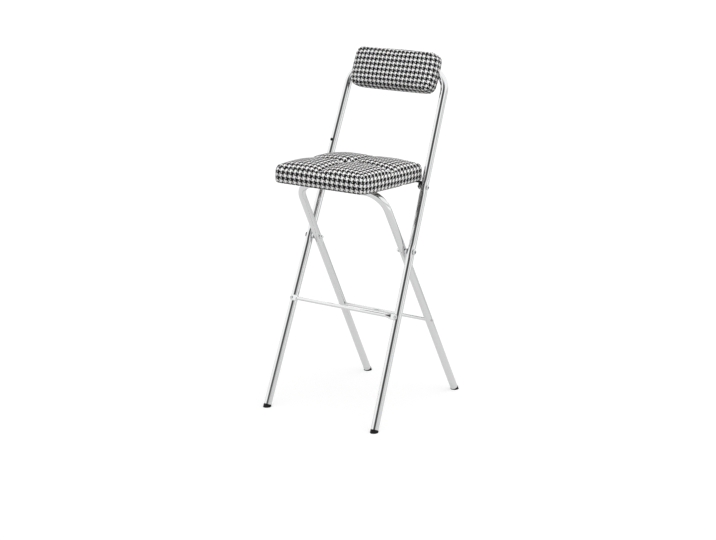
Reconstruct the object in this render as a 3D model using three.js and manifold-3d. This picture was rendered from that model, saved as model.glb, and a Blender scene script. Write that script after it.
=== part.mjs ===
// Folding bar stool with a tufted houndstooth seat and backrest on a scissor frame.
// Millimetres, +Z up, front towards -Y, right-hand side towards +X, open as it stands in use.
// The origin lies on the floor in the middle of the stool.
import * as THREE from 'three';
import * as BufferGeometryUtils from 'three/addons/utils/BufferGeometryUtils.js';
import Module from 'manifold-3d';

const wasm = await Module();
wasm.setup();

// Frame tube
const tubeRadius = 11;
const tubeWall = 1.5;
const tubeBoreRadius = tubeRadius - tubeWall;
const flatHalfWidth = 10;
const flatHalfDepth = 11.6;
const flatLength = 14;
const flatRunout = 16;

// Side view of the two frames
const frontFootY = -229.4;
const rearFootY = 228.6;
const frontLean = Math.atan(0.409);
const rearLean = Math.atan(0.552);
const seatHingeHeight = 649;
const pivotHeight = (rearFootY - frontFootY) / (Math.tan(frontLean) + Math.tan(rearLean));

// Front frame, widths are from the middle to the tube's axis
const frontHalfWidthAtFloor = 191;
const frontHalfWidthHigh = 168;
const frontHighPoint = 972;
const frontBendStart = 975;
const frontBendRadius = 62;

// Rear frame, it stands inside the front one
const rearInsetAtFloor = 31;
const rearInsetHigh = 19.5;
const rearHighPoint = 684;
const rearBendRadius = 60;

// Feet
const frontCapHeight = 8;
const rearCapHeight = 9;
const capRadius = 11.6;
const capPlugRadius = 8.6;
const capPlugLength = 20;
const capEdgeRound = 1.2;
const floorBlock = 90;

// Footrest bar and rear rung
const footrestHeight = 301;
const footrestRadius = 5.2;
const footrestTabHalfThickness = 1.7;
const footrestTabHalfHeight = 8.5;
const footrestTabReach = 5.5;
const footrestTabInner = 13;
const footrestTaper = 16;
const rungHeight = 245.5;
const rungRadius = 5.2;
const rungHoleDepth = 20;

// Fasteners
const clearance = 0.35;
const slantClearance = 0.65;
const scissorBoltRadius = 4;
const scissorHeadRadius = 8;
const scissorHeadRise = 3.4;
const scissorNutRadius = 7;
const scissorNutLength = 9;
const scissorNutBoreDepth = 6.4;
const scissorSpacerRadius = 8.5;
const hingeBoltRadius = 3;
const hingeHeadRadius = 6.5;
const hingeHeadRise = 2.8;
const hingeSpacerRadius = 8;
const hingeSpacerThickness = 1.6;
const hingeNutRadius = 5.4;
const hingeNutLength = 6.6;
const hingeNutBoreDepth = 4.6;
const screwShankRadius = 2.4;
const screwHeadRadius = 4.8;
const screwHeadRise = 2.6;
const footrestScrewLength = 10;
const rungScrewLength = 38;
const washerLip = 0.8;
const plugHeight = 742;
const plugHeadRadius = 4.2;
const plugHeadRise = 3;
const plugStemRadius = 3;
const plugStemLength = 6;

// Seat
const seatBesideBracket = 5.6;
const seatSideBow = 3;
const seatAheadOfHinge = 267.4;
const seatBehindHinge = 25;
const seatAboveHinge = 15.6;
const seatTilt = Math.atan(0.0237);
const seatSideHeight = 44;
const seatCornerRadius = 22;
const seatCrownRise = 20;
const seatCreaseDepth = 9;
const seatCreaseWidth = 13;
const seatTuftDepth = 13;
const seatTuftRadius = 24;
const seatBoardThickness = 12;
const seatBoardInset = 9;
const seatBoardCorner = 18;
const buttonRadius = 11;
const buttonRise = 4.5;
const buttonSkirt = 2.5;
const buttonStemRadius = 1.8;
const buttonSeat = 2;

// Seat brackets and stops
const bracketThickness = 3;
const bracketTabHalfWidth = 7.6;
const bracketFlangeMargin = 12;
const bracketFlangeOverBoard = 2;
const bracketFlangeLength = 64;
const bracketRearScrewForward = 20;
const bracketFrontScrewForward = 46;
const bracketScrewFromEdge = 7.4;
const bracketScrewLength = 9;
const stopCentreX = 62;
const stopWidth = 24;
const stopLipThickness = 11;
const stopLipDrop = 17;
const stopPlateBack = 26;
const stopPlateThickness = 2.65;
const stopScrewBite = 9;

// Backrest, lengths along the leaning frame
const backCentreBelowTop = 13;
const backHalfWidth = 138;
const backSideBow = 4;
const backHalfHeight = 56;
const backRearOffset = -6;
const backSideDepth = 42;
const backCrownRise = 6;
const backCornerRadius = 20;
const backBoardThickness = 8;
const backBoardInset = 16;
const backBoardCorner = 10;
const backScrewX = 70;
const backChannelHalf = 12.2;
const backScrewBite = 5.5;

// Sampling and form shares
const boreSides = 10;
const bendSteps = 8;
const capSides = 20;
const boltSides = 20;
const smallSides = 12;
const tabSides = 10;
const cornerSteps = 4;
const seatEdgeShares = [0, 0.045, 0.1, 0.2, 0.42, 0.7];
const backEdgeShares = [0, 0.35, 0.7];
const sideRingShares = [[0.965, 0], [0.99, 0.16], [1, 0.42], [0.995, 0.7], [0.975, 0.9], [0.94, 1]];
const seatCrownShares = [0.88, 0.79, 0.67, 0.54, 0.41, 0.28, 0.17, 0.08];
const backCrownShares = [0.88, 0.76, 0.56, 0.3];
const crownPower = 2.6;
const creaseFadePower = 0.3;
const domeSteps = 3;
const halfShare = 0.5;
const doubleShare = 2;
const quarterTurn = Math.PI / 2;
const fullTurn = Math.PI * 2;

const chrome = new THREE.MeshStandardMaterial({ color: 0xd5d7da, metalness: 1, roughness: 0.1 });
const zincPlate = new THREE.MeshStandardMaterial({ color: 0xc4c6c8, metalness: 1, roughness: 0.28 });
const blackRubber = new THREE.MeshStandardMaterial({ color: 0x17171a, metalness: 0, roughness: 0.75 });
const blackPlastic = new THREE.MeshStandardMaterial({ color: 0x141416, metalness: 0, roughness: 0.45 });
const blackSteel = new THREE.MeshStandardMaterial({ color: 0x111113, metalness: 0.2, roughness: 0.5 });
const plywood = new THREE.MeshStandardMaterial({ color: 0xb4ab9d, metalness: 0, roughness: 0.7 });
const checkFabric = new THREE.MeshStandardMaterial({ color: 0x8c8b89, metalness: 0, roughness: 0.95 });

// Closed solids are joined and cut as manifolds
function toManifold(geometry) {
  const bare = geometry.clone();
  bare.deleteAttribute('normal');
  bare.deleteAttribute('uv');
  const merged = BufferGeometryUtils.mergeVertices(bare);
  const vertProperties = new Float32Array(merged.attributes.position.array);
  const triVerts = new Uint32Array(merged.index.array);
  return new wasm.Manifold(new wasm.Mesh({ numProp: 3, vertProperties, triVerts }));
}

function fromManifold(solid) {
  const mesh = solid.getMesh();
  const geometry = new THREE.BufferGeometry();
  geometry.setAttribute('position', new THREE.BufferAttribute(new Float32Array(mesh.vertProperties), 3));
  geometry.setIndex(new THREE.BufferAttribute(new Uint32Array(mesh.triVerts), 1));
  const flat = geometry.toNonIndexed();
  flat.computeVertexNormals();
  return flat;
}

function cut(geometry, cutters) {
  let solid = toManifold(geometry);
  for (const cutter of cutters) {
    solid = solid.subtract(toManifold(cutter));
  }
  return fromManifold(solid);
}

function join(geometries) {
  let solid = toManifold(geometries[0]);
  for (const other of geometries.slice(1)) {
    solid = solid.add(toManifold(other));
  }
  return fromManifold(solid);
}

function named(name, geometry, material) {
  const mesh = new THREE.Mesh(geometry, material);
  mesh.name = name;
  return mesh;
}

// Rings of points are skinned into a closed loft; an inner set of rings makes it hollow
function skin(positions, rings, outward) {
  for (let i = 0; i + 1 < rings.length; i += 1) {
    const low = rings[i];
    const high = rings[i + 1];
    for (let k = 0; k < low.length; k += 1) {
      const next = (k + 1) % low.length;
      const quad = outward
        ? [low[k], low[next], high[next], low[k], high[next], high[k]]
        : [low[k], high[next], low[next], low[k], high[k], high[next]];
      positions.push(...quad);
    }
  }
}

function fan(positions, ring, centre, outward) {
  for (let k = 0; k < ring.length; k += 1) {
    const next = (k + 1) % ring.length;
    positions.push(...(outward ? [centre, ring[k], ring[next]] : [centre, ring[next], ring[k]]));
  }
}

// The end face of a hollow loft, whose outer ring has two points for each inner one
function endFace(positions, outer, inner, outward) {
  for (let k = 0; k < inner.length; k += 1) {
    const next = (k + 1) % inner.length;
    const first = outer[k + k];
    const second = outer[k + k + 1];
    const third = outer[(k + k + 2) % outer.length];
    const here = inner[k];
    const beyond = inner[next];
    for (const [a, b, c] of [[first, second, here], [second, beyond, here], [second, third, beyond]]) {
      positions.push(...(outward ? [a, b, c] : [a, c, b]));
    }
  }
}

function solidFromPoints(points) {
  const geometry = new THREE.BufferGeometry().setFromPoints(points);
  const merged = BufferGeometryUtils.mergeVertices(geometry);
  const flat = merged.toNonIndexed();
  flat.computeVertexNormals();
  return flat;
}

function middleOf(ring) {
  const sum = new THREE.Vector3();
  for (const point of ring) {
    sum.add(point);
  }
  return sum.divideScalar(ring.length);
}

// A hoop lies in its own XZ plane: up the right leg, round the top and down the left leg.
// Each station carries its place, its direction and how far the tube is pressed flat there.
function hoopStations(shape) {
  const slope = (shape.highHalfWidth - shape.floorHalfWidth) / shape.highPoint;
  const halfWidthAt = (s) => shape.floorHalfWidth + slope * s;
  const right = [];
  const along = new THREE.Vector3(slope, 0, 1).normalize();
  const addLeg = (s, flat) => {
    right.push({ place: new THREE.Vector3(halfWidthAt(s), 0, s), along: along.clone(), flat });
  };
  addLeg(shape.start, 0);
  for (const s of shape.flats) {
    const half = flatLength * halfShare;
    addLeg(s - half - flatRunout, 0);
    addLeg(s - half, 1);
    addLeg(s + half, 1);
    addLeg(s + half + flatRunout, 0);
  }
  const turn = quarterTurn + Math.atan(slope);
  const corner = new THREE.Vector3(halfWidthAt(shape.bendStart) - shape.bendRadius, 0, shape.bendStart);
  for (let i = 0; i <= bendSteps; i += 1) {
    const angle = (turn * i) / bendSteps - Math.atan(slope);
    const spread = Math.cos(angle) * shape.bendRadius;
    const rise = Math.sin(angle) * shape.bendRadius;
    right.push({
      place: corner.clone().add(new THREE.Vector3(spread, 0, rise)),
      along: new THREE.Vector3(-Math.sin(angle), 0, Math.cos(angle)),
      flat: 0,
    });
  }
  const left = right.slice().reverse().map((station) => ({
    place: new THREE.Vector3(-station.place.x, 0, station.place.z),
    along: new THREE.Vector3(station.along.x, 0, -station.along.z),
    flat: station.flat,
  }));
  return right.concat(left);
}

function stationRing(station, radius, sides) {
  const across = new THREE.Vector3(station.along.z, 0, -station.along.x);
  const shrink = tubeRadius - radius;
  const wide = THREE.MathUtils.lerp(radius, flatHalfWidth - shrink, station.flat);
  const deep = THREE.MathUtils.lerp(radius, flatHalfDepth - shrink, station.flat);
  const ring = [];
  for (let k = 0; k < sides; k += 1) {
    const angle = (fullTurn * k) / sides;
    const point = station.place.clone().addScaledVector(across, Math.cos(angle) * wide);
    point.y += Math.sin(angle) * deep;
    ring.push(point);
  }
  return ring;
}

function hoopTube(stations) {
  const outer = stations.map((station) => stationRing(station, tubeRadius, boreSides + boreSides));
  const inner = stations.map((station) => stationRing(station, tubeBoreRadius, boreSides));
  const points = [];
  const last = stations.length - 1;
  skin(points, outer, true);
  skin(points, inner, false);
  endFace(points, outer[0], inner[0], false);
  endFace(points, outer[last], inner[last], true);
  return solidFromPoints(points);
}

// Round work about an axis: profiles are pairs of radius and height from bottom to top
function turned(profile, sides) {
  const outline = profile.map(([radius, height]) => new THREE.Vector2(radius, height));
  const geometry = new THREE.LatheGeometry(outline, sides);
  geometry.rotateX(quarterTurn);
  return solidFromPoints(pointsOf(geometry));
}

function pointsOf(geometry) {
  const flat = geometry.index ? geometry.toNonIndexed() : geometry;
  const position = flat.attributes.position;
  const points = [];
  for (let i = 0; i < position.count; i += 3) {
    const corners = [0, 1, 2].map((k) => new THREE.Vector3().fromBufferAttribute(position, i + k));
    const area = new THREE.Triangle(...corners).getArea();
    if (area > 0) {
      points.push(...corners);
    }
  }
  return points;
}

function cylinder(radius, low, high, sides) {
  return turned([[0, low], [radius, low], [radius, high], [0, high]], sides);
}

// A domed bolt or screw along +Z: the head sits above height 0 and the shank hangs below
function domedBolt(headRadius, headRise, shankRadius, length, sides) {
  const profile = [[0, -length], [shankRadius, -length], [shankRadius, 0], [headRadius, 0]];
  profile.push([headRadius, washerLip]);
  for (let i = 1; i < domeSteps; i += 1) {
    const angle = (quarterTurn * i) / domeSteps;
    profile.push([headRadius * Math.cos(angle), washerLip + (headRise - washerLip) * Math.sin(angle)]);
  }
  profile.push([0, headRise]);
  return turned(profile, sides);
}

// A domed nut along +Z, open at height 0
function domedNut(radius, length, boreRadius, boreDepth, sides) {
  const profile = [[0, boreDepth], [boreRadius, boreDepth], [boreRadius, 0], [radius, 0]];
  const shoulder = length * halfShare;
  profile.push([radius, shoulder]);
  for (let i = 1; i < domeSteps; i += 1) {
    const angle = (quarterTurn * i) / domeSteps;
    profile.push([radius * Math.cos(angle), shoulder + (length - shoulder) * Math.sin(angle)]);
  }
  profile.push([0, length]);
  return turned(profile, sides);
}

function ringWasher(radius, boreRadius, thickness, sides) {
  const profile = [[boreRadius, 0], [radius, 0], [radius, thickness], [boreRadius, thickness]];
  return turned([...profile, profile[0]], sides);
}

// Turns work from +Z to the sideways direction, side is 1 for the right and -1 for the left
function sideways(geometry, side) {
  return geometry.clone().rotateY(side * quarterTurn);
}

function sideHole(radius, reach, x, y, z) {
  const hole = cylinder(radius, -reach, reach, boltSides);
  return hole.rotateY(quarterTurn).translate(x, y, z);
}

function forwardHole(radius, near, far, x, z) {
  const hole = cylinder(radius, near, far, smallSides);
  return hole.rotateX(quarterTurn).translate(x, 0, z);
}

// The rounded outline of a pad or board, running anticlockwise seen from above.
// The shares place extra points on the straight sides, from the middle outwards.
function roundedOutline(halfWidth, halfDepth, radius, shares) {
  const flatX = halfWidth - radius;
  const flatY = halfDepth - radius;
  const quarter = shares.map((share) => [halfWidth, flatY * share]);
  for (let i = 0; i <= cornerSteps; i += 1) {
    const angle = (quarterTurn * i) / cornerSteps;
    quarter.push([flatX + radius * Math.cos(angle), flatY + radius * Math.sin(angle)]);
  }
  shares.slice(1).reverse().forEach((share) => quarter.push([flatX * share, halfDepth]));
  const upper = quarter.slice();
  if (shares.length > 0) {
    upper.push([0, halfDepth]);
  }
  quarter.slice().reverse().forEach(([x, y]) => upper.push([-x, y]));
  const lower = upper.map(([x, y]) => [-x, -y]);
  return shares.length > 0 ? upper.concat(lower.slice(1, -1)) : upper.concat(lower);
}

function board(halfWidth, halfDepth, radius, thickness) {
  const outline = roundedOutline(halfWidth, halfDepth, radius, []);
  const shape = new THREE.Shape(outline.map(([x, y]) => new THREE.Vector2(x, y)));
  const geometry = new THREE.ExtrudeGeometry(shape, { depth: thickness, bevelEnabled: false });
  return solidFromPoints(pointsOf(geometry));
}

// A cushion stands on height 0: drawn-in and bowed sides, a crowned top, creases and a tuft in the middle
function cushionForm(form) {
  const plan = roundedOutline(form.halfWidth, form.halfDepth, form.cornerRadius, form.edgeShares);
  const widest = form.halfWidth + form.sideBow;
  const outline = plan.map(([x, y]) => {
    const bowShare = 1 - (y / form.halfDepth) ** 2;
    return [(x * (form.halfWidth + form.sideBow * bowShare)) / form.halfWidth, y];
  });
  const crown = (x, y) => {
    const u = Math.min(1, Math.abs(x) / widest);
    const v = Math.min(1, Math.abs(y) / form.halfDepth);
    const swell = (1 - u ** crownPower) * (1 - v ** crownPower);
    const fold = Math.exp(-((x / form.creaseWidth) ** 2)) + Math.exp(-((y / form.creaseWidth) ** 2));
    const tuft = Math.exp(-(x * x + y * y) / (form.tuftRadius * form.tuftRadius));
    const crease = form.creaseDepth * Math.min(1, fold) * swell ** creaseFadePower;
    return form.sideHeight + form.crownRise * swell ** halfShare - crease - form.tuftDepth * tuft;
  };
  const rings = sideRingShares.map(([across, up]) => (
    outline.map(([x, y]) => new THREE.Vector3(x * across, y * across, form.sideHeight * up))
  ));
  for (const share of form.crownShares) {
    const plain = outline.map(([x, y]) => [x * share, y * share]);
    rings.push(plain.map(([x, y]) => new THREE.Vector3(x, y, crown(x, y))));
  }
  const points = [];
  skin(points, rings, true);
  fan(points, rings[0], new THREE.Vector3(0, 0, 0), false);
  fan(points, rings[rings.length - 1], new THREE.Vector3(0, 0, crown(0, 0)), true);
  return { geometry: solidFromPoints(points), crown };
}

// The cross tube lies under the seat, one stop plate below it
const hingeY = frontFootY + seatHingeHeight * Math.tan(frontLean);
const crossTubeBelowSeat = tubeRadius + stopPlateThickness + clearance * doubleShare;
const crossTubeAboveHinge = seatAboveHinge - crossTubeBelowSeat;
const crossTubeRise = crossTubeAboveHinge + seatHingeHeight * Math.cos(seatTilt);
const crossTubeRun = (rearFootY - hingeY) * Math.sin(seatTilt);
const crossTubeLine = (crossTubeRise - crossTubeRun) / Math.cos(rearLean + seatTilt);

const rearHalfWidthAtFloor = frontHalfWidthAtFloor - rearInsetAtFloor;
const rearHalfWidthHigh = frontHalfWidthHigh - rearInsetHigh;

// Places along the two frames
const frontShape = {
  floorHalfWidth: frontHalfWidthAtFloor,
  highHalfWidth: frontHalfWidthHigh,
  highPoint: frontHighPoint,
  bendStart: frontBendStart,
  bendRadius: frontBendRadius,
  start: frontCapHeight,
};
const rearShape = {
  floorHalfWidth: rearHalfWidthAtFloor,
  highHalfWidth: rearHalfWidthHigh,
  highPoint: rearHighPoint,
  bendStart: crossTubeLine - rearBendRadius,
  bendRadius: rearBendRadius,
  start: rearCapHeight,
};
const alongFront = (height) => height / Math.cos(frontLean);
const alongRear = (height) => height / Math.cos(rearLean);
const frontTopLine = frontBendStart + frontBendRadius;
const halfWidthAt = (shape, s) => (
  shape.floorHalfWidth + ((shape.highHalfWidth - shape.floorHalfWidth) * s) / shape.highPoint
);
const pivotOnFront = alongFront(pivotHeight);
const pivotOnRear = alongRear(pivotHeight);
const hingeOnFront = alongFront(seatHingeHeight);
const footrestOnFront = alongFront(footrestHeight);
const plugOnFront = alongFront(plugHeight);
const rungOnRear = alongRear(rungHeight);
frontShape.flats = [pivotOnFront, hingeOnFront];
rearShape.flats = [pivotOnRear];

// The seat hinges hang from the front legs, and the seat is as wide as they leave room for
const hingeLegFace = halfWidthAt(frontShape, hingeOnFront) - flatHalfWidth;
const hingeSpacerX = hingeLegFace - slantClearance - hingeSpacerThickness;
const tabOuterX = hingeSpacerX - clearance;
const tabInnerX = tabOuterX - bracketThickness;
const seatHalfWidth = tabOuterX - seatBesideBracket;

const stool = new THREE.Group();
stool.name = 'folding_bar_stool';
const frontFrame = new THREE.Group();
frontFrame.name = 'front_frame';
frontFrame.position.y = frontFootY;
frontFrame.rotation.x = -frontLean;
const rearFrame = new THREE.Group();
rearFrame.name = 'rear_frame';
rearFrame.position.y = rearFootY;
rearFrame.rotation.x = rearLean;
const seatHalfDepth = (seatAheadOfHinge + seatBehindHinge) * halfShare;
const hingeInSeatY = seatHalfDepth - seatBehindHinge;
const seat = new THREE.Group();
seat.name = 'seat';
seat.rotation.x = -seatTilt;
seat.position.set(0, -hingeInSeatY, seatAboveHinge).applyEuler(seat.rotation);
seat.position.add(new THREE.Vector3(0, hingeY, seatHingeHeight));
seat.updateMatrix();
stool.add(frontFrame, rearFrame, seat);

// Front hoop: front legs, backrest hoop, holes for the bolts, footrest screws and plug
function frontHoop() {
  const reach = tubeRadius + clearance;
  const holes = [];
  for (const side of [1, -1]) {
    const pivotX = side * halfWidthAt(frontShape, pivotOnFront);
    const hingeX = side * halfWidthAt(frontShape, hingeOnFront);
    const restX = side * halfWidthAt(frontShape, footrestOnFront);
    holes.push(sideHole(scissorBoltRadius + clearance, reach, pivotX, 0, pivotOnFront));
    holes.push(sideHole(hingeBoltRadius + clearance, reach, hingeX, 0, hingeOnFront));
    holes.push(forwardHole(screwShankRadius + clearance, 0, reach, restX, footrestOnFront));
    holes.push(forwardHole(screwShankRadius + clearance, -reach, reach, side * backScrewX, frontTopLine));
  }
  const plugX = -halfWidthAt(frontShape, plugOnFront);
  holes.push(forwardHole(plugStemRadius + clearance, 0, reach, plugX, plugOnFront));
  return cut(hoopTube(hoopStations(frontShape)), holes);
}
frontFrame.add(named('front_leg_hoop', frontHoop(), chrome));

// Rear hoop: rear legs and the cross tube under the seat
function rearHoop() {
  const reach = tubeRadius + clearance;
  const holes = [];
  for (const side of [1, -1]) {
    const pivotX = side * halfWidthAt(rearShape, pivotOnRear);
    const rungX = side * halfWidthAt(rearShape, rungOnRear);
    holes.push(sideHole(scissorBoltRadius + clearance, reach, pivotX, 0, pivotOnRear));
    holes.push(sideHole(screwShankRadius + clearance, reach, rungX, 0, rungOnRear));
  }
  return cut(hoopTube(hoopStations(rearShape)), holes);
}
rearFrame.add(named('rear_leg_hoop', rearHoop(), chrome));

// Foot caps: a plug in the tube and a head cut level with the floor
function footCap(shape, lean, capHeight, side) {
  const tilt = Math.atan((shape.highHalfWidth - shape.floorHalfWidth) / shape.highPoint);
  const top = capHeight - clearance;
  const below = -capRadius;
  const profile = [
    [0, below], [capRadius, below], [capRadius, top - capEdgeRound], [capRadius - capEdgeRound, top],
    [capPlugRadius, top], [capPlugRadius, capHeight + capPlugLength], [0, capHeight + capPlugLength],
  ];
  const body = turned(profile, capSides);
  body.rotateY(side * tilt);
  body.translate(side * shape.floorHalfWidth, 0, 0);
  const size = floorBlock;
  const floor = new THREE.BoxGeometry(size, size, size);
  floor.translate(side * shape.floorHalfWidth, 0, -size * halfShare);
  floor.rotateX(lean);
  return cut(body, [floor]);
}
for (const [word, side] of [['right', 1], ['left', -1]]) {
  const frontCap = footCap(frontShape, frontLean, frontCapHeight, side);
  frontFrame.add(named(`front_foot_cap_${word}`, frontCap, blackRubber));
  const rearCap = footCap(rearShape, -rearLean, rearCapHeight, side);
  rearFrame.add(named(`rear_foot_cap_${word}`, rearCap, blackRubber));
}

// Footrest bar: a round rod whose ends are pressed flat onto the front of the legs
function footrestBar() {
  const legX = halfWidthAt(frontShape, footrestOnFront);
  const tabY = -tubeRadius - clearance - footrestTabHalfThickness;
  const rodY = -tubeRadius - clearance - footrestRadius;
  const tipShare = 0.55;
  const thick = footrestTabHalfThickness;
  const tall = footrestTabHalfHeight;
  const stations = [
    [legX + footrestTabReach, tabY, thick, tall * tipShare],
    [legX + footrestTabReach - thick, tabY, thick, tall],
    [legX - footrestTabInner, tabY, thick, tall],
    [legX - footrestTabInner - footrestTaper, rodY, footrestRadius, footrestRadius],
  ];
  const mirrored = stations.slice().reverse().map(([x, y, deep, high]) => [-x, y, deep, high]);
  const rings = stations.concat(mirrored).reverse().map(([x, y, deep, high]) => {
    const ring = [];
    for (let k = 0; k < capSides; k += 1) {
      const angle = (fullTurn * k) / capSides;
      ring.push(new THREE.Vector3(x, y + deep * Math.cos(angle), footrestOnFront + high * Math.sin(angle)));
    }
    return ring;
  });
  const points = [];
  skin(points, rings, true);
  fan(points, rings[0], middleOf(rings[0]), false);
  fan(points, rings[rings.length - 1], middleOf(rings[rings.length - 1]), true);
  const reach = tubeRadius + footrestTabHalfHeight;
  const radius = screwShankRadius + clearance;
  const holes = [1, -1].map((side) => forwardHole(radius, 0, reach, side * legX, footrestOnFront));
  return cut(solidFromPoints(points), holes);
}
frontFrame.add(named('footrest_bar', footrestBar(), chrome));

function addFootrestScrew(word, side) {
  const bolt = domedBolt(screwHeadRadius, screwHeadRise, screwShankRadius, footrestScrewLength, smallSides);
  const mesh = named(`footrest_screw_${word}`, bolt, zincPlate);
  const faceY = -tubeRadius - clearance - footrestTabHalfThickness * doubleShare - clearance;
  mesh.rotation.x = quarterTurn;
  mesh.position.set(side * halfWidthAt(frontShape, footrestOnFront), faceY, footrestOnFront);
  frontFrame.add(mesh);
}

// Rear rung: a rod between the rear legs, held by a screw through each leg
function rearRung() {
  const half = halfWidthAt(rearShape, rungOnRear) - tubeRadius - clearance;
  const rod = cylinder(rungRadius, -half, half, smallSides);
  const deep = half - rungHoleDepth;
  const radius = screwShankRadius + clearance;
  const holes = [cylinder(radius, deep, half + clearance, smallSides)];
  holes.push(cylinder(radius, -half - clearance, -deep, smallSides));
  return cut(rod, holes).rotateY(quarterTurn).translate(0, 0, rungOnRear);
}
rearFrame.add(named('rear_rung', rearRung(), chrome));

function addRungScrew(word, side) {
  const bolt = domedBolt(screwHeadRadius, screwHeadRise, screwShankRadius, rungScrewLength, smallSides);
  const mesh = named(`rung_screw_${word}`, bolt, zincPlate);
  mesh.rotation.y = side * quarterTurn;
  mesh.position.set(side * (halfWidthAt(rearShape, rungOnRear) + tubeRadius + clearance), 0, rungOnRear);
  rearFrame.add(mesh);
}

// Scissor pivot: bolt, spacer between the tubes and domed nut on the inside
function addScissorPivot(word, side) {
  const frontX = halfWidthAt(frontShape, pivotOnFront);
  const rearX = halfWidthAt(rearShape, pivotOnRear);
  const headX = frontX + flatHalfWidth + slantClearance;
  const spacerLow = rearX + flatHalfWidth + slantClearance;
  const spacerHigh = frontX - flatHalfWidth - slantClearance;
  const nutX = rearX - flatHalfWidth - slantClearance;
  const length = headX - nutX + scissorNutBoreDepth - clearance;
  const bolt = domedBolt(scissorHeadRadius, scissorHeadRise, scissorBoltRadius, length, boltSides);
  const boltMesh = named(`scissor_bolt_${word}`, sideways(bolt, side), zincPlate);
  boltMesh.position.set(side * headX, 0, pivotOnFront);
  const bore = scissorBoltRadius + clearance;
  const spacer = ringWasher(scissorSpacerRadius, bore, spacerHigh - spacerLow, boltSides);
  const spacerMesh = named(`scissor_spacer_${word}`, sideways(spacer, side), zincPlate);
  spacerMesh.position.set(side * spacerLow, 0, pivotOnFront);
  const nut = domedNut(scissorNutRadius, scissorNutLength, bore, scissorNutBoreDepth, boltSides);
  const nutMesh = named(`scissor_cap_nut_${word}`, sideways(nut, -side), chrome);
  nutMesh.position.set(side * nutX, 0, pivotOnFront);
  frontFrame.add(boltMesh, spacerMesh, nutMesh);
}

// Seat hinge: bolt through the front leg, spacer, bracket tab and domed nut
function addSeatHinge(word, side) {
  const legX = halfWidthAt(frontShape, hingeOnFront);
  const headX = legX + flatHalfWidth + slantClearance;
  const nutX = tabInnerX - clearance;
  const length = headX - nutX + hingeNutBoreDepth - clearance;
  const bolt = domedBolt(hingeHeadRadius, hingeHeadRise, hingeBoltRadius, length, boltSides);
  const boltMesh = named(`seat_hinge_bolt_${word}`, sideways(bolt, side), zincPlate);
  boltMesh.position.set(side * headX, 0, hingeOnFront);
  const bore = hingeBoltRadius + clearance;
  const spacer = ringWasher(hingeSpacerRadius, bore, hingeSpacerThickness, boltSides);
  const spacerMesh = named(`seat_hinge_spacer_${word}`, sideways(spacer, side), zincPlate);
  spacerMesh.position.set(side * hingeSpacerX, 0, hingeOnFront);
  const nut = domedNut(hingeNutRadius, hingeNutLength, bore, hingeNutBoreDepth, smallSides);
  const nutMesh = named(`seat_hinge_nut_${word}`, sideways(nut, -side), zincPlate);
  nutMesh.position.set(side * nutX, 0, hingeOnFront);
  frontFrame.add(boltMesh, spacerMesh, nutMesh);
}

// Black plug in the front of the left leg, above the seat
function addPlug() {
  const plug = domedBolt(plugHeadRadius, plugHeadRise, plugStemRadius, plugStemLength, smallSides);
  const mesh = named('left_leg_plug', plug, blackRubber);
  mesh.rotation.x = quarterTurn;
  mesh.position.set(-halfWidthAt(frontShape, plugOnFront), -tubeRadius - clearance, plugOnFront);
  frontFrame.add(mesh);
}

for (const [word, side] of [['right', 1], ['left', -1]]) {
  addFootrestScrew(word, side);
  addRungScrew(word, side);
  addScissorPivot(word, side);
  addSeatHinge(word, side);
}
addPlug();

// Seat board with holes for the bracket screws, stop screws and button stem
const crossTubeHeight = crossTubeLine * Math.cos(rearLean);
const crossTubeY = rearFootY - crossTubeLine * Math.sin(rearLean);
const crossTubeInSeat = new THREE.Vector3(0, crossTubeY, crossTubeHeight);
crossTubeInSeat.applyMatrix4(seat.matrix.clone().invert());
const stopLipY = crossTubeInSeat.y - tubeRadius - clearance;
const boardBase = clearance;
const bracketScrewX = seatHalfWidth - seatBoardInset - bracketScrewFromEdge;
const bracketFlangeOuterX = seatHalfWidth - seatBoardInset + bracketFlangeOverBoard;
const bracketFlangeReach = bracketFlangeOuterX - bracketScrewX + bracketFlangeMargin;
const bracketMiddleY = hingeInSeatY - bracketFlangeLength * halfShare + bracketTabHalfWidth;
const bracketScrewYs = [hingeInSeatY - bracketRearScrewForward, hingeInSeatY - bracketFrontScrewForward];
const stopScrewY = stopLipY - stopLipThickness * halfShare;

function seatBoard() {
  const halfWidth = seatHalfWidth - seatBoardInset;
  const halfDepth = seatHalfDepth - seatBoardInset;
  const plate = board(halfWidth, halfDepth, seatBoardCorner, seatBoardThickness).translate(0, 0, boardBase);
  const low = -clearance;
  const high = boardBase + seatBoardThickness + clearance;
  const radius = screwShankRadius + clearance;
  const holes = [cylinder(buttonStemRadius + clearance, low, high, smallSides)];
  for (const side of [1, -1]) {
    holes.push(cylinder(radius, low, high, smallSides).translate(side * stopCentreX, stopScrewY, 0));
    for (const y of bracketScrewYs) {
      holes.push(cylinder(radius, low, high, smallSides).translate(side * bracketScrewX, y, 0));
    }
  }
  return cut(plate, holes);
}
seat.add(named('seat_board', seatBoard(), plywood));

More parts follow.
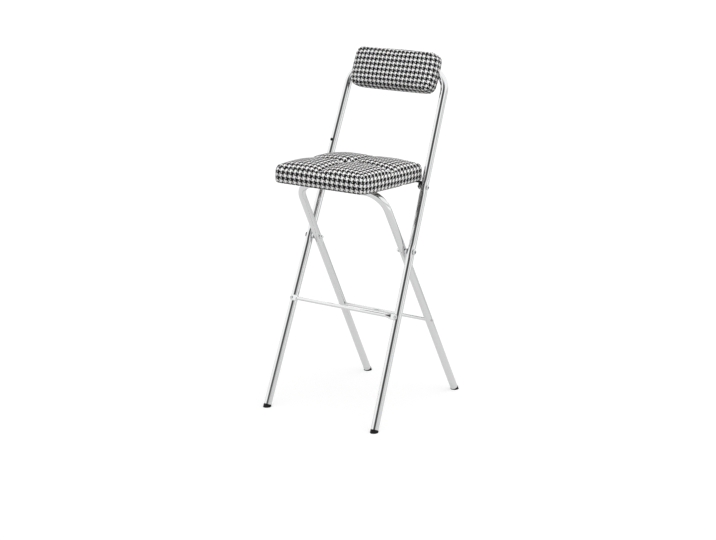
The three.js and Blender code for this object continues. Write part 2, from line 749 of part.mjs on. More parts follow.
// Seat cushion: four lobes drawn in by a button, with a pocket for the board
const seatForm = cushionForm({
  halfWidth: seatHalfWidth,
  halfDepth: seatHalfDepth,
  sideBow: seatSideBow,
  cornerRadius: seatCornerRadius,
  sideHeight: seatSideHeight,
  crownRise: seatCrownRise,
  creaseDepth: seatCreaseDepth,
  creaseWidth: seatCreaseWidth,
  tuftDepth: seatTuftDepth,
  tuftRadius: seatTuftRadius,
  edgeShares: seatEdgeShares,
  crownShares: seatCrownShares,
});
function seatCushion() {
  const halfWidth = seatHalfWidth - seatBoardInset + clearance;
  const halfDepth = seatHalfDepth - seatBoardInset + clearance;
  const depth = boardBase + seatBoardThickness + clearance * doubleShare;
  const pocket = board(halfWidth, halfDepth, seatBoardCorner, depth).translate(0, 0, -clearance);
  const high = seatSideHeight + seatCrownRise;
  const stem = cylinder(buttonStemRadius + clearance, 0, high, smallSides);
  return cut(seatForm.geometry, [pocket, stem]);
}
seat.add(named('seat_cushion', seatCushion(), checkFabric));

// Covered button in the tuft, with its stem down to the board
function seatButton() {
  const length = seatForm.crown(0, 0) + buttonSeat - boardBase;
  const profile = [[0, -length], [buttonStemRadius, -length], [buttonStemRadius, 0]];
  profile.push([buttonRadius, buttonSkirt]);
  for (let i = 1; i < domeSteps; i += 1) {
    const angle = (quarterTurn * i) / domeSteps;
    profile.push([buttonRadius * Math.cos(angle), buttonSkirt + buttonRise * Math.sin(angle)]);
  }
  profile.push([0, buttonSkirt + buttonRise]);
  return turned(profile, boltSides);
}
const buttonMesh = named('seat_button', seatButton(), checkFabric);
buttonMesh.position.z = seatForm.crown(0, 0) + buttonSeat;
seat.add(buttonMesh);

// Seat brackets: a flange under the board, and a neck out to a rounded tab on the hinge bolt
function seatBracket(side) {
  const drop = seatAboveHinge;
  const tab = new THREE.Shape();
  tab.moveTo(hingeInSeatY - bracketTabHalfWidth, -clearance);
  tab.lineTo(hingeInSeatY - bracketTabHalfWidth, -drop);
  tab.absarc(hingeInSeatY, -drop, bracketTabHalfWidth, Math.PI, fullTurn, false);
  tab.lineTo(hingeInSeatY + bracketTabHalfWidth, -clearance);
  tab.closePath();
  const cast = { depth: bracketThickness, bevelEnabled: false, curveSegments: tabSides };
  const plate = new THREE.ExtrudeGeometry(tab, cast);
  plate.rotateX(quarterTurn).rotateZ(quarterTurn).translate(tabInnerX, 0, 0);
  const flange = new THREE.BoxGeometry(bracketFlangeReach, bracketFlangeLength, bracketThickness);
  const flangeX = bracketFlangeOuterX - bracketFlangeReach * halfShare;
  const flangeZ = -clearance - bracketThickness * halfShare;
  flange.translate(flangeX, bracketMiddleY, flangeZ);
  const neckReach = tabOuterX - bracketScrewX;
  const neck = new THREE.BoxGeometry(neckReach, bracketTabHalfWidth * doubleShare, bracketThickness);
  neck.translate(tabOuterX - neckReach * halfShare, hingeInSeatY, flangeZ);
  const solid = join([solidFromPoints(pointsOf(plate)), flange, neck]);
  const bore = hingeBoltRadius + clearance;
  const holes = [sideHole(bore, bracketThickness * doubleShare, tabInnerX, hingeInSeatY, -drop)];
  for (const y of bracketScrewYs) {
    const radius = screwShankRadius + clearance;
    holes.push(cylinder(radius, -drop, clearance, smallSides).translate(bracketScrewX, y, 0));
  }
  const bracket = cut(solid, holes);
  return side > 0 ? bracket : mirrorX(bracket);
}

function mirrorX(geometry) {
  const points = pointsOf(geometry);
  const flipped = [];
  for (let i = 0; i < points.length; i += 3) {
    const corners = [points[i], points[i + 2], points[i + 1]];
    flipped.push(...corners.map((point) => new THREE.Vector3(-point.x, point.y, point.z)));
  }
  return solidFromPoints(flipped);
}

// Stops: a plate under the board and a lip in front of the cross tube
function tubeStop(side) {
  const plateLength = stopLipThickness + stopPlateBack;
  const plate = new THREE.BoxGeometry(stopWidth, plateLength, stopPlateThickness);
  const middleY = stopLipY - stopLipThickness + plateLength * halfShare;
  plate.translate(side * stopCentreX, middleY, -clearance - stopPlateThickness * halfShare);
  const lip = new THREE.BoxGeometry(stopWidth, stopLipThickness, stopLipDrop);
  lip.translate(side * stopCentreX, stopScrewY, -clearance - stopLipDrop * halfShare);
  const low = -stopLipDrop - clearance * doubleShare;
  const hole = cylinder(screwShankRadius + clearance, low, clearance, smallSides);
  return cut(join([plate, lip]), [hole.translate(side * stopCentreX, stopScrewY, 0)]);
}

function addSeatScrew(name, x, y, faceDrop, length) {
  const screw = domedBolt(screwHeadRadius, screwHeadRise, screwShankRadius, length, smallSides);
  const mesh = named(name, screw, zincPlate);
  mesh.rotation.x = Math.PI;
  mesh.position.set(x, y, -faceDrop);
  seat.add(mesh);
}

const bracketFace = clearance + bracketThickness + clearance;
const stopFace = clearance + stopLipDrop + clearance;
const stopScrewLength = stopFace + stopScrewBite;
for (const [word, side] of [['right', 1], ['left', -1]]) {
  seat.add(named(`seat_bracket_${word}`, seatBracket(side), blackSteel));
  seat.add(named(`cross_tube_stop_${word}`, tubeStop(side), blackPlastic));
  const ends = [['rear', bracketScrewYs[0]], ['front', bracketScrewYs[1]]];
  for (const [end, y] of ends) {
    addSeatScrew(`bracket_screw_${end}_${word}`, side * bracketScrewX, y, bracketFace, bracketScrewLength);
  }
  addSeatScrew(`stop_screw_${word}`, side * stopCentreX, stopScrewY, stopFace, stopScrewLength);
}

// Backrest: a board screwed to the top tube inside a cushion that wraps round the tube
const backCentre = frontTopLine - backCentreBelowTop;
const backrest = new THREE.Group();
backrest.name = 'backrest';
backrest.position.set(0, -backRearOffset, backCentre);
backrest.rotation.x = quarterTurn;
frontFrame.add(backrest);
const backBoardBase = tubeRadius + clearance - backRearOffset;
const tubeLineInBack = frontTopLine - backCentre;

function backBoard() {
  const halfWidth = backHalfWidth - backBoardInset;
  const halfHeight = backHalfHeight - backBoardInset;
  const plate = board(halfWidth, halfHeight, backBoardCorner, backBoardThickness);
  plate.translate(0, 0, backBoardBase);
  const low = backBoardBase - clearance;
  const high = backBoardBase + backScrewBite + clearance;
  const radius = screwShankRadius + clearance;
  const holes = [1, -1].map((side) => (
    cylinder(radius, low, high, smallSides).translate(side * backScrewX, tubeLineInBack, 0)
  ));
  return cut(plate, holes);
}
backrest.add(named('backrest_board', backBoard(), plywood));

// The channel follows the hoop behind the board
function hoopChannel() {
  const deepEnd = backBoardBase + clearance;
  const rings = hoopStations({ ...frontShape, flats: [] }).map((station) => {
    const across = new THREE.Vector3(station.along.z, -station.along.x, 0);
    const middle = new THREE.Vector3(station.place.x, station.place.z - backCentre, 0);
    const corners = [[1, -deepEnd], [1, deepEnd], [-1, deepEnd], [-1, -deepEnd]];
    return corners.map(([way, height]) => {
      const corner = middle.clone().addScaledVector(across, way * backChannelHalf);
      corner.z = height;
      return corner;
    });
  });
  const points = [];
  skin(points, rings, false);
  fan(points, rings[0], middleOf(rings[0]), true);
  fan(points, rings[rings.length - 1], middleOf(rings[rings.length - 1]), false);
  return solidFromPoints(points);
}

function backCushion() {
  const form = cushionForm({
    halfWidth: backHalfWidth,
    halfDepth: backHalfHeight,
    sideBow: backSideBow,
    cornerRadius: backCornerRadius,
    sideHeight: backSideDepth,
    crownRise: backCrownRise,
    creaseDepth: 0,
    creaseWidth: seatCreaseWidth,
    tuftDepth: 0,
    tuftRadius: seatTuftRadius,
    edgeShares: backEdgeShares,
    crownShares: backCrownShares,
  });
  const halfWidth = backHalfWidth - backBoardInset + clearance;
  const halfHeight = backHalfHeight - backBoardInset + clearance;
  const depth = backBoardThickness + clearance * doubleShare;
  const pocket = board(halfWidth, halfHeight, backBoardCorner, depth);
  pocket.translate(0, 0, backBoardBase - clearance);
  return cut(form.geometry, [hoopChannel(), pocket]);
}
backrest.add(named('backrest_cushion', backCushion(), checkFabric));

function addBackScrew(word, side) {
  const length = tubeRadius * doubleShare + clearance * doubleShare + backScrewBite;
  const screw = domedBolt(screwHeadRadius, screwHeadRise, screwShankRadius, length, smallSides);
  const mesh = named(`backrest_screw_${word}`, screw, zincPlate);
  mesh.rotation.x = Math.PI;
  mesh.position.set(side * backScrewX, tubeLineInBack, -backRearOffset - tubeRadius - clearance);
  backrest.add(mesh);
}
addBackScrew('right', 1);
addBackScrew('left', -1);

export default stool;
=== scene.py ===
import contextlib
import math

import bmesh
import bpy
from mathutils import Matrix, Vector


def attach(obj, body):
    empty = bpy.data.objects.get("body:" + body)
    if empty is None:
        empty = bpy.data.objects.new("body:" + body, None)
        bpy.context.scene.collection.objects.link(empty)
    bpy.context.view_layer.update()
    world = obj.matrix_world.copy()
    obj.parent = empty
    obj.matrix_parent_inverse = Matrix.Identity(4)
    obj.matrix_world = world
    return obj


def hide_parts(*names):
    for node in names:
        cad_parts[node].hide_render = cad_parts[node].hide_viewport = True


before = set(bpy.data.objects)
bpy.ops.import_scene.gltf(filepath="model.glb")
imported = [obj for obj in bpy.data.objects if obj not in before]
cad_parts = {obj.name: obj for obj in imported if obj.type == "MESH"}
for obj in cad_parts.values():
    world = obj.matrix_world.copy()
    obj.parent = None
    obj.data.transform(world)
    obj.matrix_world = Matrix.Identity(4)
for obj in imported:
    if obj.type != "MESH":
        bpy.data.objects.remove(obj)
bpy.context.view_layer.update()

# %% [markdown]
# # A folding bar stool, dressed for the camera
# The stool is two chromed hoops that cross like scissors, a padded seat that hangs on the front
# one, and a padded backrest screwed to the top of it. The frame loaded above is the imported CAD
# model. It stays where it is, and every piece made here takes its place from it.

mm = 0.001
both_sides = (("right", 1), ("left", -1))

# %% [markdown]
# ## Camera
# The photograph looks at the stool from its right front, a little from above. The outlines of the
# tubes give the camera's place. It could be found by eye, but a fitted camera puts every piece on
# the same pixels, so its numbers are kept here.

# %% Camera
azimuth, elevation, roll = math.radians(36.15), math.radians(14.28), math.radians(-0.1)
focal_pixels, picture_pixels, sensor_width = 1728, 716, 36
backward = Vector((
    math.sin(azimuth) * math.cos(elevation),
    -math.cos(azimuth) * math.cos(elevation),
    math.sin(elevation),
))
level = Vector((math.cos(azimuth), math.sin(azimuth), 0))
upright = backward.cross(level)
right = level * math.cos(roll) + upright * math.sin(roll)
top = upright * math.cos(roll) - level * math.sin(roll)
turn = Matrix((right, top, backward)).transposed()
bpy.ops.object.camera_add(location=(2.8345, -3.92225, 1.6219), rotation=turn.to_euler())
camera = bpy.context.object
camera.name = "camera"
camera.data.sensor_width = sensor_width
camera.data.lens = focal_pixels / picture_pixels * sensor_width
bpy.context.scene.camera = camera
bpy.context.scene.view_settings.view_transform = "Standard"
print("lens", round(camera.data.lens, 2), "mm")

# %% [markdown]
# ## Editing by hand
# Modelling in Blender is select, then act. These helpers do the selecting: one piece at a time,
# and inside it the faces, edges or corners whose middle and facing pass a test. Everything is
# deselected first, because an operator acts on all that is selected.

# %% Helpers for selecting and editing
def choose(*pieces):
    bpy.ops.object.select_all(action="DESELECT")
    for piece in pieces:
        piece.select_set(True)
    bpy.context.view_layer.objects.active = pieces[0]


@contextlib.contextmanager
def editing(piece):
    choose(piece)
    bpy.ops.object.mode_set(mode="EDIT")
    yield
    bpy.ops.object.mode_set(mode="OBJECT")


def pick(kind, test):
    """Selects the edges or faces that pass test(middle, facing, element)."""
    bpy.ops.mesh.select_mode(type=kind)
    bpy.ops.mesh.select_all(action="DESELECT")
    shell = bmesh.from_edit_mesh(bpy.context.edit_object.data)
    shell.normal_update()
    for part in shell.faces if kind == "FACE" else shell.edges:
        if kind == "FACE":
            middle, facing = part.calc_center_median(), part.normal
        else:
            first, second = (corner.co for corner in part.verts)
            middle, facing = (first + second) / 2, (second - first).normalized()
        if test(middle, facing, part):
            part.select_set(True)
    shell.select_flush_mode()
    bmesh.update_edit_mesh(bpy.context.edit_object.data)


def pick_rim():
    pick("EDGE", lambda middle, along, edge: edge.is_boundary)


def fill_rim():
    pick_rim()
    bpy.ops.mesh.edge_face_add()


def extrude(step):
    bpy.ops.mesh.extrude_region_move(TRANSFORM_OT_translate={"value": step})


def next_ring(here, there, squeeze):
    """Extrudes the selected ring to a new middle, and squeezes it there."""
    extrude(there - here)
    bpy.ops.transform.resize(value=squeeze, center_override=there)


# %% Helpers for whole pieces
def name_new(name):
    piece = bpy.context.object
    piece.name = name
    piece.data.name = name
    return piece


def fix_place(piece):
    choose(piece)
    bpy.ops.object.transform_apply(location=True, rotation=True, scale=True)


def use_modifier(piece, kind, **settings):
    choose(piece)
    modifier = piece.modifiers.new(kind.lower(), kind)
    for setting, value in settings.items():
        setattr(modifier, setting, value)
    bpy.ops.object.modifier_apply(modifier=modifier.name)


def mirror_half(piece):
    use_modifier(piece, "MIRROR", use_clip=True, merge_threshold=0.0001)


def break_edges(piece, width):
    use_modifier(piece, "BEVEL", width=width * mm, segments=2, limit_method="ANGLE",
                 angle_limit=math.radians(40))


def combine(piece, other, operation):
    """Cuts the other piece out of this one, or joins it on, and removes the other."""
    use_modifier(piece, "BOOLEAN", operation=operation, object=other, solver="EXACT")
    bpy.data.objects.remove(other)


def put_in_order(piece):
    """Sorts corners, edges and faces by place: extruding leaves them in an order left to chance."""
    def sort(parts, place):
        def key(part):
            return tuple(round(length, 7) for length in place(part))

        rank = {part: number for number, part in enumerate(sorted(parts, key=key))}
        parts.sort(key=rank.get)

    with editing(piece):
        shell = bmesh.from_edit_mesh(piece.data)
        sort(shell.verts, lambda corner: corner.co)
        sort(shell.edges, lambda edge: (edge.verts[0].co + edge.verts[1].co) / 2)
        sort(shell.faces, lambda face: face.calc_center_median())
        bmesh.update_edit_mesh(piece.data)


def face_outwards(piece):
    put_in_order(piece)
    with editing(piece):
        bpy.ops.mesh.select_all(action="SELECT")
        bpy.ops.mesh.remove_doubles(threshold=0.00001)
        bpy.ops.mesh.normals_make_consistent(inside=False)
    put_in_order(piece)


def smooth(piece, angle=35):
    choose(piece)
    bpy.ops.object.shade_smooth_by_angle(angle=math.radians(angle))


def another(piece, name):
    twin = piece.copy()
    twin.data = piece.data.copy()
    twin.name = twin.data.name = name
    bpy.context.scene.collection.objects.link(twin)
    return twin


def measure(piece):
    shell = bmesh.new()
    shell.from_mesh(piece.data)
    loose = sum(1 for edge in shell.edges if not edge.is_manifold)
    size = [round(side / mm, 1) for side in piece.dimensions]
    print(piece.name, len(piece.data.polygons), "faces, size", size, "mm, open edges", loose,
          "volume", round(shell.calc_volume(signed=True) * 1e6, 2), "cm3")
    shell.free()


# %% [markdown]
# ## The stool's own directions
# Both frames lean, and so does the seat. Each is drawn upright, in its own plane, where a leg
# runs up Z and lengths are easy to read, and then leaned into the stool in one move. The move is
# applied, so each piece ends at the origin with its place in its mesh.

# %% The leaning frames
front_lean, rear_lean, seat_tilt = math.atan(0.409), math.atan(0.552), math.atan(0.0237)
front_foot_y, rear_foot_y = -229.4 * mm, 228.6 * mm
hinge_height = 649 * mm
pivot_height = (rear_foot_y - front_foot_y) / (math.tan(front_lean) + math.tan(rear_lean))
hinge_y = front_foot_y + hinge_height * math.tan(front_lean)
seat_half_depth, seat_behind_hinge, seat_above_hinge = 146.2 * mm, 25 * mm, 15.6 * mm
hinge_in_seat = seat_half_depth - seat_behind_hinge

lean = {
    "front_frame": Matrix.Translation((0, front_foot_y, 0)) @ Matrix.Rotation(-front_lean, 4, "X"),
    "rear_frame": Matrix.Translation((0, rear_foot_y, 0)) @ Matrix.Rotation(rear_lean, 4, "X"),
    "seat": Matrix.Translation((0, hinge_y, hinge_height))
    @ Matrix.Rotation(-seat_tilt, 4, "X")
    @ Matrix.Translation((0, -hinge_in_seat, seat_above_hinge)),
}


def into_frame(piece, body):
    piece.matrix_world = lean[body] @ piece.matrix_world
    fix_place(piece)


def finish_piece(piece, body, finish, *nodes):
    """Gives the piece its finish, its body and the CAD nodes that it stands for."""
    material, slot = finish
    piece.data.materials.clear()
    piece.data.materials.append(material)
    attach(piece, body)
    if nodes:
        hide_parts(*nodes)
    measure(piece)


# %% [markdown]
# ## Shader sums
# A pattern such as a weave is a sum on coordinates. Written with Math nodes one by one it is
# hard to read, so a small class wraps a socket, and Python's own signs add the nodes. Any other
# node comes from one method, which sets it up and links or fills its sockets.

# %% A material as Python
def math_node(operation):
    """A method that adds one Math node to the recipe."""
    return lambda signal, *others: signal.recipe.math(operation, signal, *others)


class Signal:
    """A number that varies over a surface. Arithmetic on it adds Math nodes."""

    def __init__(self, recipe, socket):
        self.recipe = recipe
        self.socket = socket

    def __rsub__(self, other):
        return self.recipe.math("SUBTRACT", other, self)

    __add__ = __radd__ = math_node("ADD")
    __sub__ = math_node("SUBTRACT")
    __mul__ = math_node("MULTIPLY")
    __truediv__ = math_node("DIVIDE")
    __pow__ = math_node("POWER")
    __mod__ = math_node("FLOORED_MODULO")
    __lt__ = math_node("LESS_THAN")
    floor = math_node("FLOOR")
    abs = math_node("ABSOLUTE")
    cosine = math_node("COSINE")


class Recipe:
    """The node tree of one finish."""

    def __init__(self, name, owner=None):
        self.material = owner or bpy.data.materials.new(name)
        self.material.use_nodes = True
        self.tree = self.material.node_tree
        self.tree.nodes.clear()

    def add(self, kind, settings, inputs, output=0):
        """Adds a node; output is one socket's name or number, or a tuple of several."""
        node = self.tree.nodes.new(kind)
        for setting, value in settings.items():
            setattr(node, setting, value)
        for socket, value in inputs.items():
            if isinstance(value, Signal):
                self.tree.links.new(value.socket, node.inputs[socket])
            else:
                node.inputs[socket].default_value = value
        if isinstance(output, tuple):
            return [Signal(self, node.outputs[name]) for name in output]
        return Signal(self, node.outputs[output])

    def axes(self, vector):
        return self.add("ShaderNodeSeparateXYZ", {}, {0: vector}, output=(0, 1, 2))

    def rays(self):
        kinds = ("Is Camera Ray", "Is Glossy Ray", "Is Transmission Ray")
        return self.add("ShaderNodeLightPath", {}, {}, output=kinds)

    def math(self, operation, *values):
        return self.add("ShaderNodeMath", {"operation": operation}, dict(enumerate(values)))

    def mix(self, factor, first, second):
        inputs = {0: factor, 6: first, 7: second}
        return self.add("ShaderNodeMix", {"data_type": "RGBA"}, inputs, output=2)

    def place(self):
        return self.add("ShaderNodeTexCoord", {}, {}, output="Object")

    def noise(self, scale, detail=2, where=None, roughness=0.5):
        inputs = {
            "Vector": where or self.place(), "Scale": scale, "Detail": detail,
            "Roughness": roughness,
        }
        return self.add("ShaderNodeTexNoise", {}, inputs)

    def spread(self, signal, low, high, to_low=0.0, to_high=1.0):
        inputs = {"Value": signal, 1: low, 2: high, 3: to_low, 4: to_high}
        return self.add("ShaderNodeMapRange", {"interpolation_type": "SMOOTHSTEP"}, inputs)

    def bump(self, height, distance, strength=1.0):
        inputs = {"Height": height, "Distance": distance, "Strength": strength}
        return self.add("ShaderNodeBump", {}, inputs, output="Normal")

    def surface(self, colour, rough, normal, **more):
        """The finish; more holds Metallic and Specular, for sockets that keep one value."""
        inputs = {"Base Color": colour, "Roughness": rough, "Normal": normal}
        inputs["Metallic"] = more.get("metallic", 0.0)
        inputs["Specular IOR Level"] = more.get("specular", 0.5)
        return self.close(self.add("ShaderNodeBsdfPrincipled", {}, inputs))

    def close(self, shader, kind="ShaderNodeOutputMaterial"):
        end = self.tree.nodes.new(kind)
        self.tree.links.new(shader.socket, end.inputs["Surface"])
        return self.material


def grey(value):
    return (value, value, value, 1)


# %% [markdown]
# ## Chrome, zinc, plastic, rubber, paint and wood
# Polished chrome is a mirror, so its look comes from what stands round it. The finish itself
# only needs its grey, a low roughness with faint wipe marks, and the slight waviness of drawn
# tube. The bolts are bright zinc, which is softer and a little cloudy. The black parts differ
# mainly in gloss and grain: moulded plastic, matt rubber and painted sheet steel.

# %% Metal finishes
def chrome_finish():
    recipe = Recipe("chrome")
    cloud = recipe.noise(38, 3)
    wipes = recipe.noise(420, 2)
    rough = recipe.spread(cloud, 0.3, 0.75, 0.055, 0.1) + wipes * 0.03
    wave = recipe.bump(recipe.noise(26, 1), 0.0004, 0.05)
    tint = recipe.mix(cloud, (0.66, 0.663, 0.667, 1), (0.69, 0.693, 0.697, 1))
    return recipe.surface(tint, rough, wave, metallic=1.0)


def zinc_finish():
    recipe = Recipe("zinc_plate")
    cloud = recipe.noise(260, 4)
    tint = recipe.mix(cloud, (0.56, 0.565, 0.57, 1), (0.68, 0.685, 0.69, 1))
    rough = recipe.spread(cloud, 0.25, 0.8, 0.16, 0.3)
    grain = recipe.bump(recipe.noise(2400, 2), 0.00005, 0.35)
    return recipe.surface(tint, rough, grain, metallic=1.0)


# %% Black finishes
def black_finish(name, shade, low, high, grain_scale, grain_depth, metallic=0.0):
    recipe = Recipe(name)
    patches = recipe.noise(90, 3)
    tint = recipe.mix(patches, grey(shade * 0.8), grey(shade * 1.35))
    rough = recipe.spread(patches, 0.25, 0.75, low, high)
    grain = recipe.bump(recipe.noise(grain_scale, 2), grain_depth, 0.5)
    return recipe.surface(tint, rough, grain, metallic=metallic, specular=0.22)


# %% Plywood
def plywood_finish():
    """Pale veneer with its grain along X."""
    recipe = Recipe("plywood")
    stretch = recipe.add("ShaderNodeMapping", {}, {
        "Vector": recipe.place(), "Scale": (3.0, 42.0, 42.0),
    }, output="Vector")
    figure = recipe.noise(5, 5, stretch, 0.6)
    fibre = recipe.noise(46, 3, stretch, 0.7)
    pores = recipe.spread(fibre, 0.62, 0.72)
    face = recipe.mix(figure, (0.50, 0.475, 0.44, 1), (0.65, 0.625, 0.585, 1))
    marked = recipe.mix(pores * 0.6, face, (0.30, 0.275, 0.245, 1))
    rough = recipe.spread(figure, 0.3, 0.7, 0.55, 0.75)
    grain = recipe.bump(fibre, 0.0002, 0.5)
    return recipe.surface(marked, rough, grain)


# Each finish is a pair: the material, and the slot of the CAD model that it stands for.
chrome = chrome_finish(), "chrome"
zinc = zinc_finish(), "zinc_plate"
black_plastic = black_finish("black_plastic", 0.022, 0.32, 0.46, 1800, 0.00008), "black_plastic"
black_rubber = black_finish("black_rubber", 0.007, 0.5, 0.68, 1300, 0.00012), "black_rubber"
black_steel = black_finish("black_steel", 0.02, 0.28, 0.42, 700, 0.0001, 0.1), "black_steel"
plywood = plywood_finish(), "plywood"
print("finishes", [m.name for m in bpy.data.materials])

# %% [markdown]
# ## Houndstooth cloth
# Houndstooth is a plain result of weaving: four dark and four pale yarns take turns both ways in
# a two-over, two-under twill. So the pattern is not drawn. The weave is built cell by cell from
# the two yarn numbers, and the checks with their teeth appear by themselves. The map that the
# cushions carry is in metres along the cloth, so one yarn is the same width everywhere.

# %% Woven cloth
yarn, yarns_in_repeat, black_yarns = 1.86 * mm, 8, 4


def thicker_black(count):
    """Shifts the yarn count so that the black yarns of each repeat take more room."""
    return count + (count * (math.tau / yarns_in_repeat)).cosine() * 0.2


def cloth_finish():
    recipe = Recipe("check_fabric")
    place = recipe.add("ShaderNodeUVMap", {"uv_map": "cloth"}, {}, output="UV")
    across, along = (thicker_black(length / yarn) for length in recipe.axes(place)[:2])
    warp_number, weft_number = across.floor(), along.floor()
    warp_dark = (warp_number % yarns_in_repeat) < black_yarns - 0.5
    weft_dark = (weft_number % yarns_in_repeat) < black_yarns - 0.5
    from_float = ((warp_number + along + 1) % 4 - 2).abs()
    warp_on_top = from_float < 1 + warp_dark * 0.25 - weft_dark * 0.4
    dark = warp_dark * warp_on_top + weft_dark * (1 - warp_on_top)
    in_warp = ((across % 1) - 0.5).abs() * 2
    in_weft = ((along % 1) - 0.5).abs() * 2
    side = in_warp * warp_on_top + in_weft * (1 - warp_on_top)
    roundness = 1 - side ** 2.5
    fuzz = recipe.noise(5200, 2)
    wear = recipe.noise(70, 3)
    # Painted shade: shade darkens each yarn towards its edges, where it turns away and dips under
    # its neighbour, in the pale and the black yarns alike. The fuzz mixed into it adds the yarn's
    # own random tone.
    shade = recipe.spread(roundness * 0.7 + fuzz * 0.5, 0.05, 0.75)
    pale = recipe.mix(shade, (0.8, 0.797, 0.79, 1), (0.95, 0.947, 0.94, 1))
    black = recipe.mix(shade, (0.002, 0.002, 0.0023, 1), (0.009, 0.009, 0.0095, 1))
    colour = recipe.mix(dark, pale, black)
    rough = recipe.spread(wear, 0.3, 0.7, 0.82, 0.95)
    height = roundness * 0.75 + fuzz * 0.35
    weave = recipe.bump(height, 0.0006, 0.4)
    return recipe.surface(colour, rough, weave, specular=0.25)


cloth = cloth_finish(), "check_fabric"
print("one repeat of the check is", round(yarns_in_repeat * yarn / mm, 2), "mm")

# %% [markdown]
# ## The two hoops
# Each hoop is one steel tube: up one leg, across, and down the other, with the tube pressed flat
# where a bolt passes through. It could be a curve with a bevel, but a curve has the same section
# everywhere. Here a circle is extruded up the leg ring by ring and squeezed at the flats, spun
# round the bend, taken to the middle and mirrored. Solidify then gives the wall.

# %% Shapes of the hoops
tube_radius, tube_wall = 11 * mm, 1.5 * mm
gap = 0.35 * mm
flat_width, flat_depth = 10 * mm, 11.6 * mm
flat_length, flat_runout = 14 * mm, 16 * mm

front_shape = {
    "floor": 191 * mm, "high": 168 * mm, "high_at": 972 * mm,
    "bend_at": 975 * mm, "bend": 62 * mm, "start": 8 * mm,
    "flats": [pivot_height / math.cos(front_lean), hinge_height / math.cos(front_lean)],
}
stop_plate = 2.65 * mm
cross_above_hinge = seat_above_hinge - tube_radius - stop_plate - gap * 2
cross_rise = cross_above_hinge + hinge_height * math.cos(seat_tilt)
cross_run = (rear_foot_y - hinge_y) * math.sin(seat_tilt)
cross_line = (cross_rise - cross_run) / math.cos(rear_lean + seat_tilt)
rear_shape = {
    "floor": 160 * mm, "high": 148.5 * mm, "high_at": 684 * mm,
    "bend_at": cross_line - 60 * mm, "bend": 60 * mm, "start": 9 * mm,
    "flats": [pivot_height / math.cos(rear_lean)],
}
frames = (("front", front_shape), ("rear", rear_shape))


def leg_slope(shape):
    return (shape["high"] - shape["floor"]) / shape["high_at"]


def leg_half_width(shape, s):
    return shape["floor"] + leg_slope(shape) * s


def on_leg(shape, s):
    return Vector((leg_half_width(shape, s), 0, s))


# %% A hoop from a circle
def eased(share):
    """Goes from 0 to 1 with a level start and end."""
    return (1 - math.cos(math.pi * share)) / 2


def leg_stations(shape):
    """Places up the leg, each with how flat the tube is there, from 0 to 1."""
    stations = []
    for middle in shape["flats"]:
        low, high = middle - flat_length / 2, middle + flat_length / 2
        shares = [step / 6 for step in range(7)]
        stations += [(low - flat_runout * (1 - share), eased(share)) for share in shares]
        stations.append((middle, 1))
        stations += [(high + flat_runout * share, 1 - eased(share)) for share in shares]
    return stations


def half_hoop(shape, radius, sides):
    tilt = math.atan(leg_slope(shape))
    bpy.ops.mesh.primitive_circle_add(
        vertices=sides, radius=radius, fill_type="NOTHING",
        location=on_leg(shape, shape["start"]), rotation=(0, tilt, 0),
    )
    leg = bpy.context.object
    fix_place(leg)
    corner = on_leg(shape, shape["bend_at"]) - Vector((shape["bend"], 0, 0))
    arc_start = corner + Vector((math.cos(tilt), 0, -math.sin(tilt))) * shape["bend"]
    with editing(leg):
        bpy.ops.mesh.select_all(action="SELECT")
        here, width, depth = on_leg(shape, shape["start"]), radius, radius
        for s, flat in leg_stations(shape):
            there = on_leg(shape, s)
            new_width = radius + (flat_width - tube_radius) * flat
            new_depth = radius + (flat_depth - tube_radius) * flat
            next_ring(here, there, (new_width / width, new_depth / depth, 1))
            here, width, depth = there, new_width, new_depth
        extrude(arc_start - here)
        bpy.ops.mesh.spin(
            steps=18, angle=math.radians(90) + tilt, center=corner, axis=(0, 1, 0),
        )
        extrude((-corner.x, 0, 0))
    return leg


def hoop(name, shape, body):
    tube = half_hoop(shape, tube_radius, 48)
    mirror_half(tube)
    face_outwards(tube)
    use_modifier(tube, "SOLIDIFY", thickness=tube_wall, offset=-1)
    name_new(name)
    smooth(tube, 50)
    into_frame(tube, body)
    return tube


for end, shape in frames:
    tube = hoop(f"{end}_hoop", shape, f"{end}_frame")
    finish_piece(tube, f"{end}_frame", chrome, f"{end}_leg_hoop")

# %% [markdown]
# ## Footrest, rung and foot caps
# The footrest is a round rod whose ends are pressed flat and screwed to the fronts of the legs.
# The rung is a plain rod between the rear legs. The foot caps are rubber heads with a neck that
# plugs the tube, cut level with the floor. A half rod is drawn and mirrored, because both ends
# are alike, and a cap is turned on its own axis before it leans with its leg.

# %% Footrest bar
rod = 5.2 * mm
rest_line = 301 * mm / math.cos(front_lean)
rest_leg = leg_half_width(front_shape, rest_line)
tab_thick, tab_tall, tab_reach = 1.7 * mm, 8.5 * mm, 5.5 * mm
tab_y = -tube_radius - gap - tab_thick
rod_y = -tube_radius - gap - rod


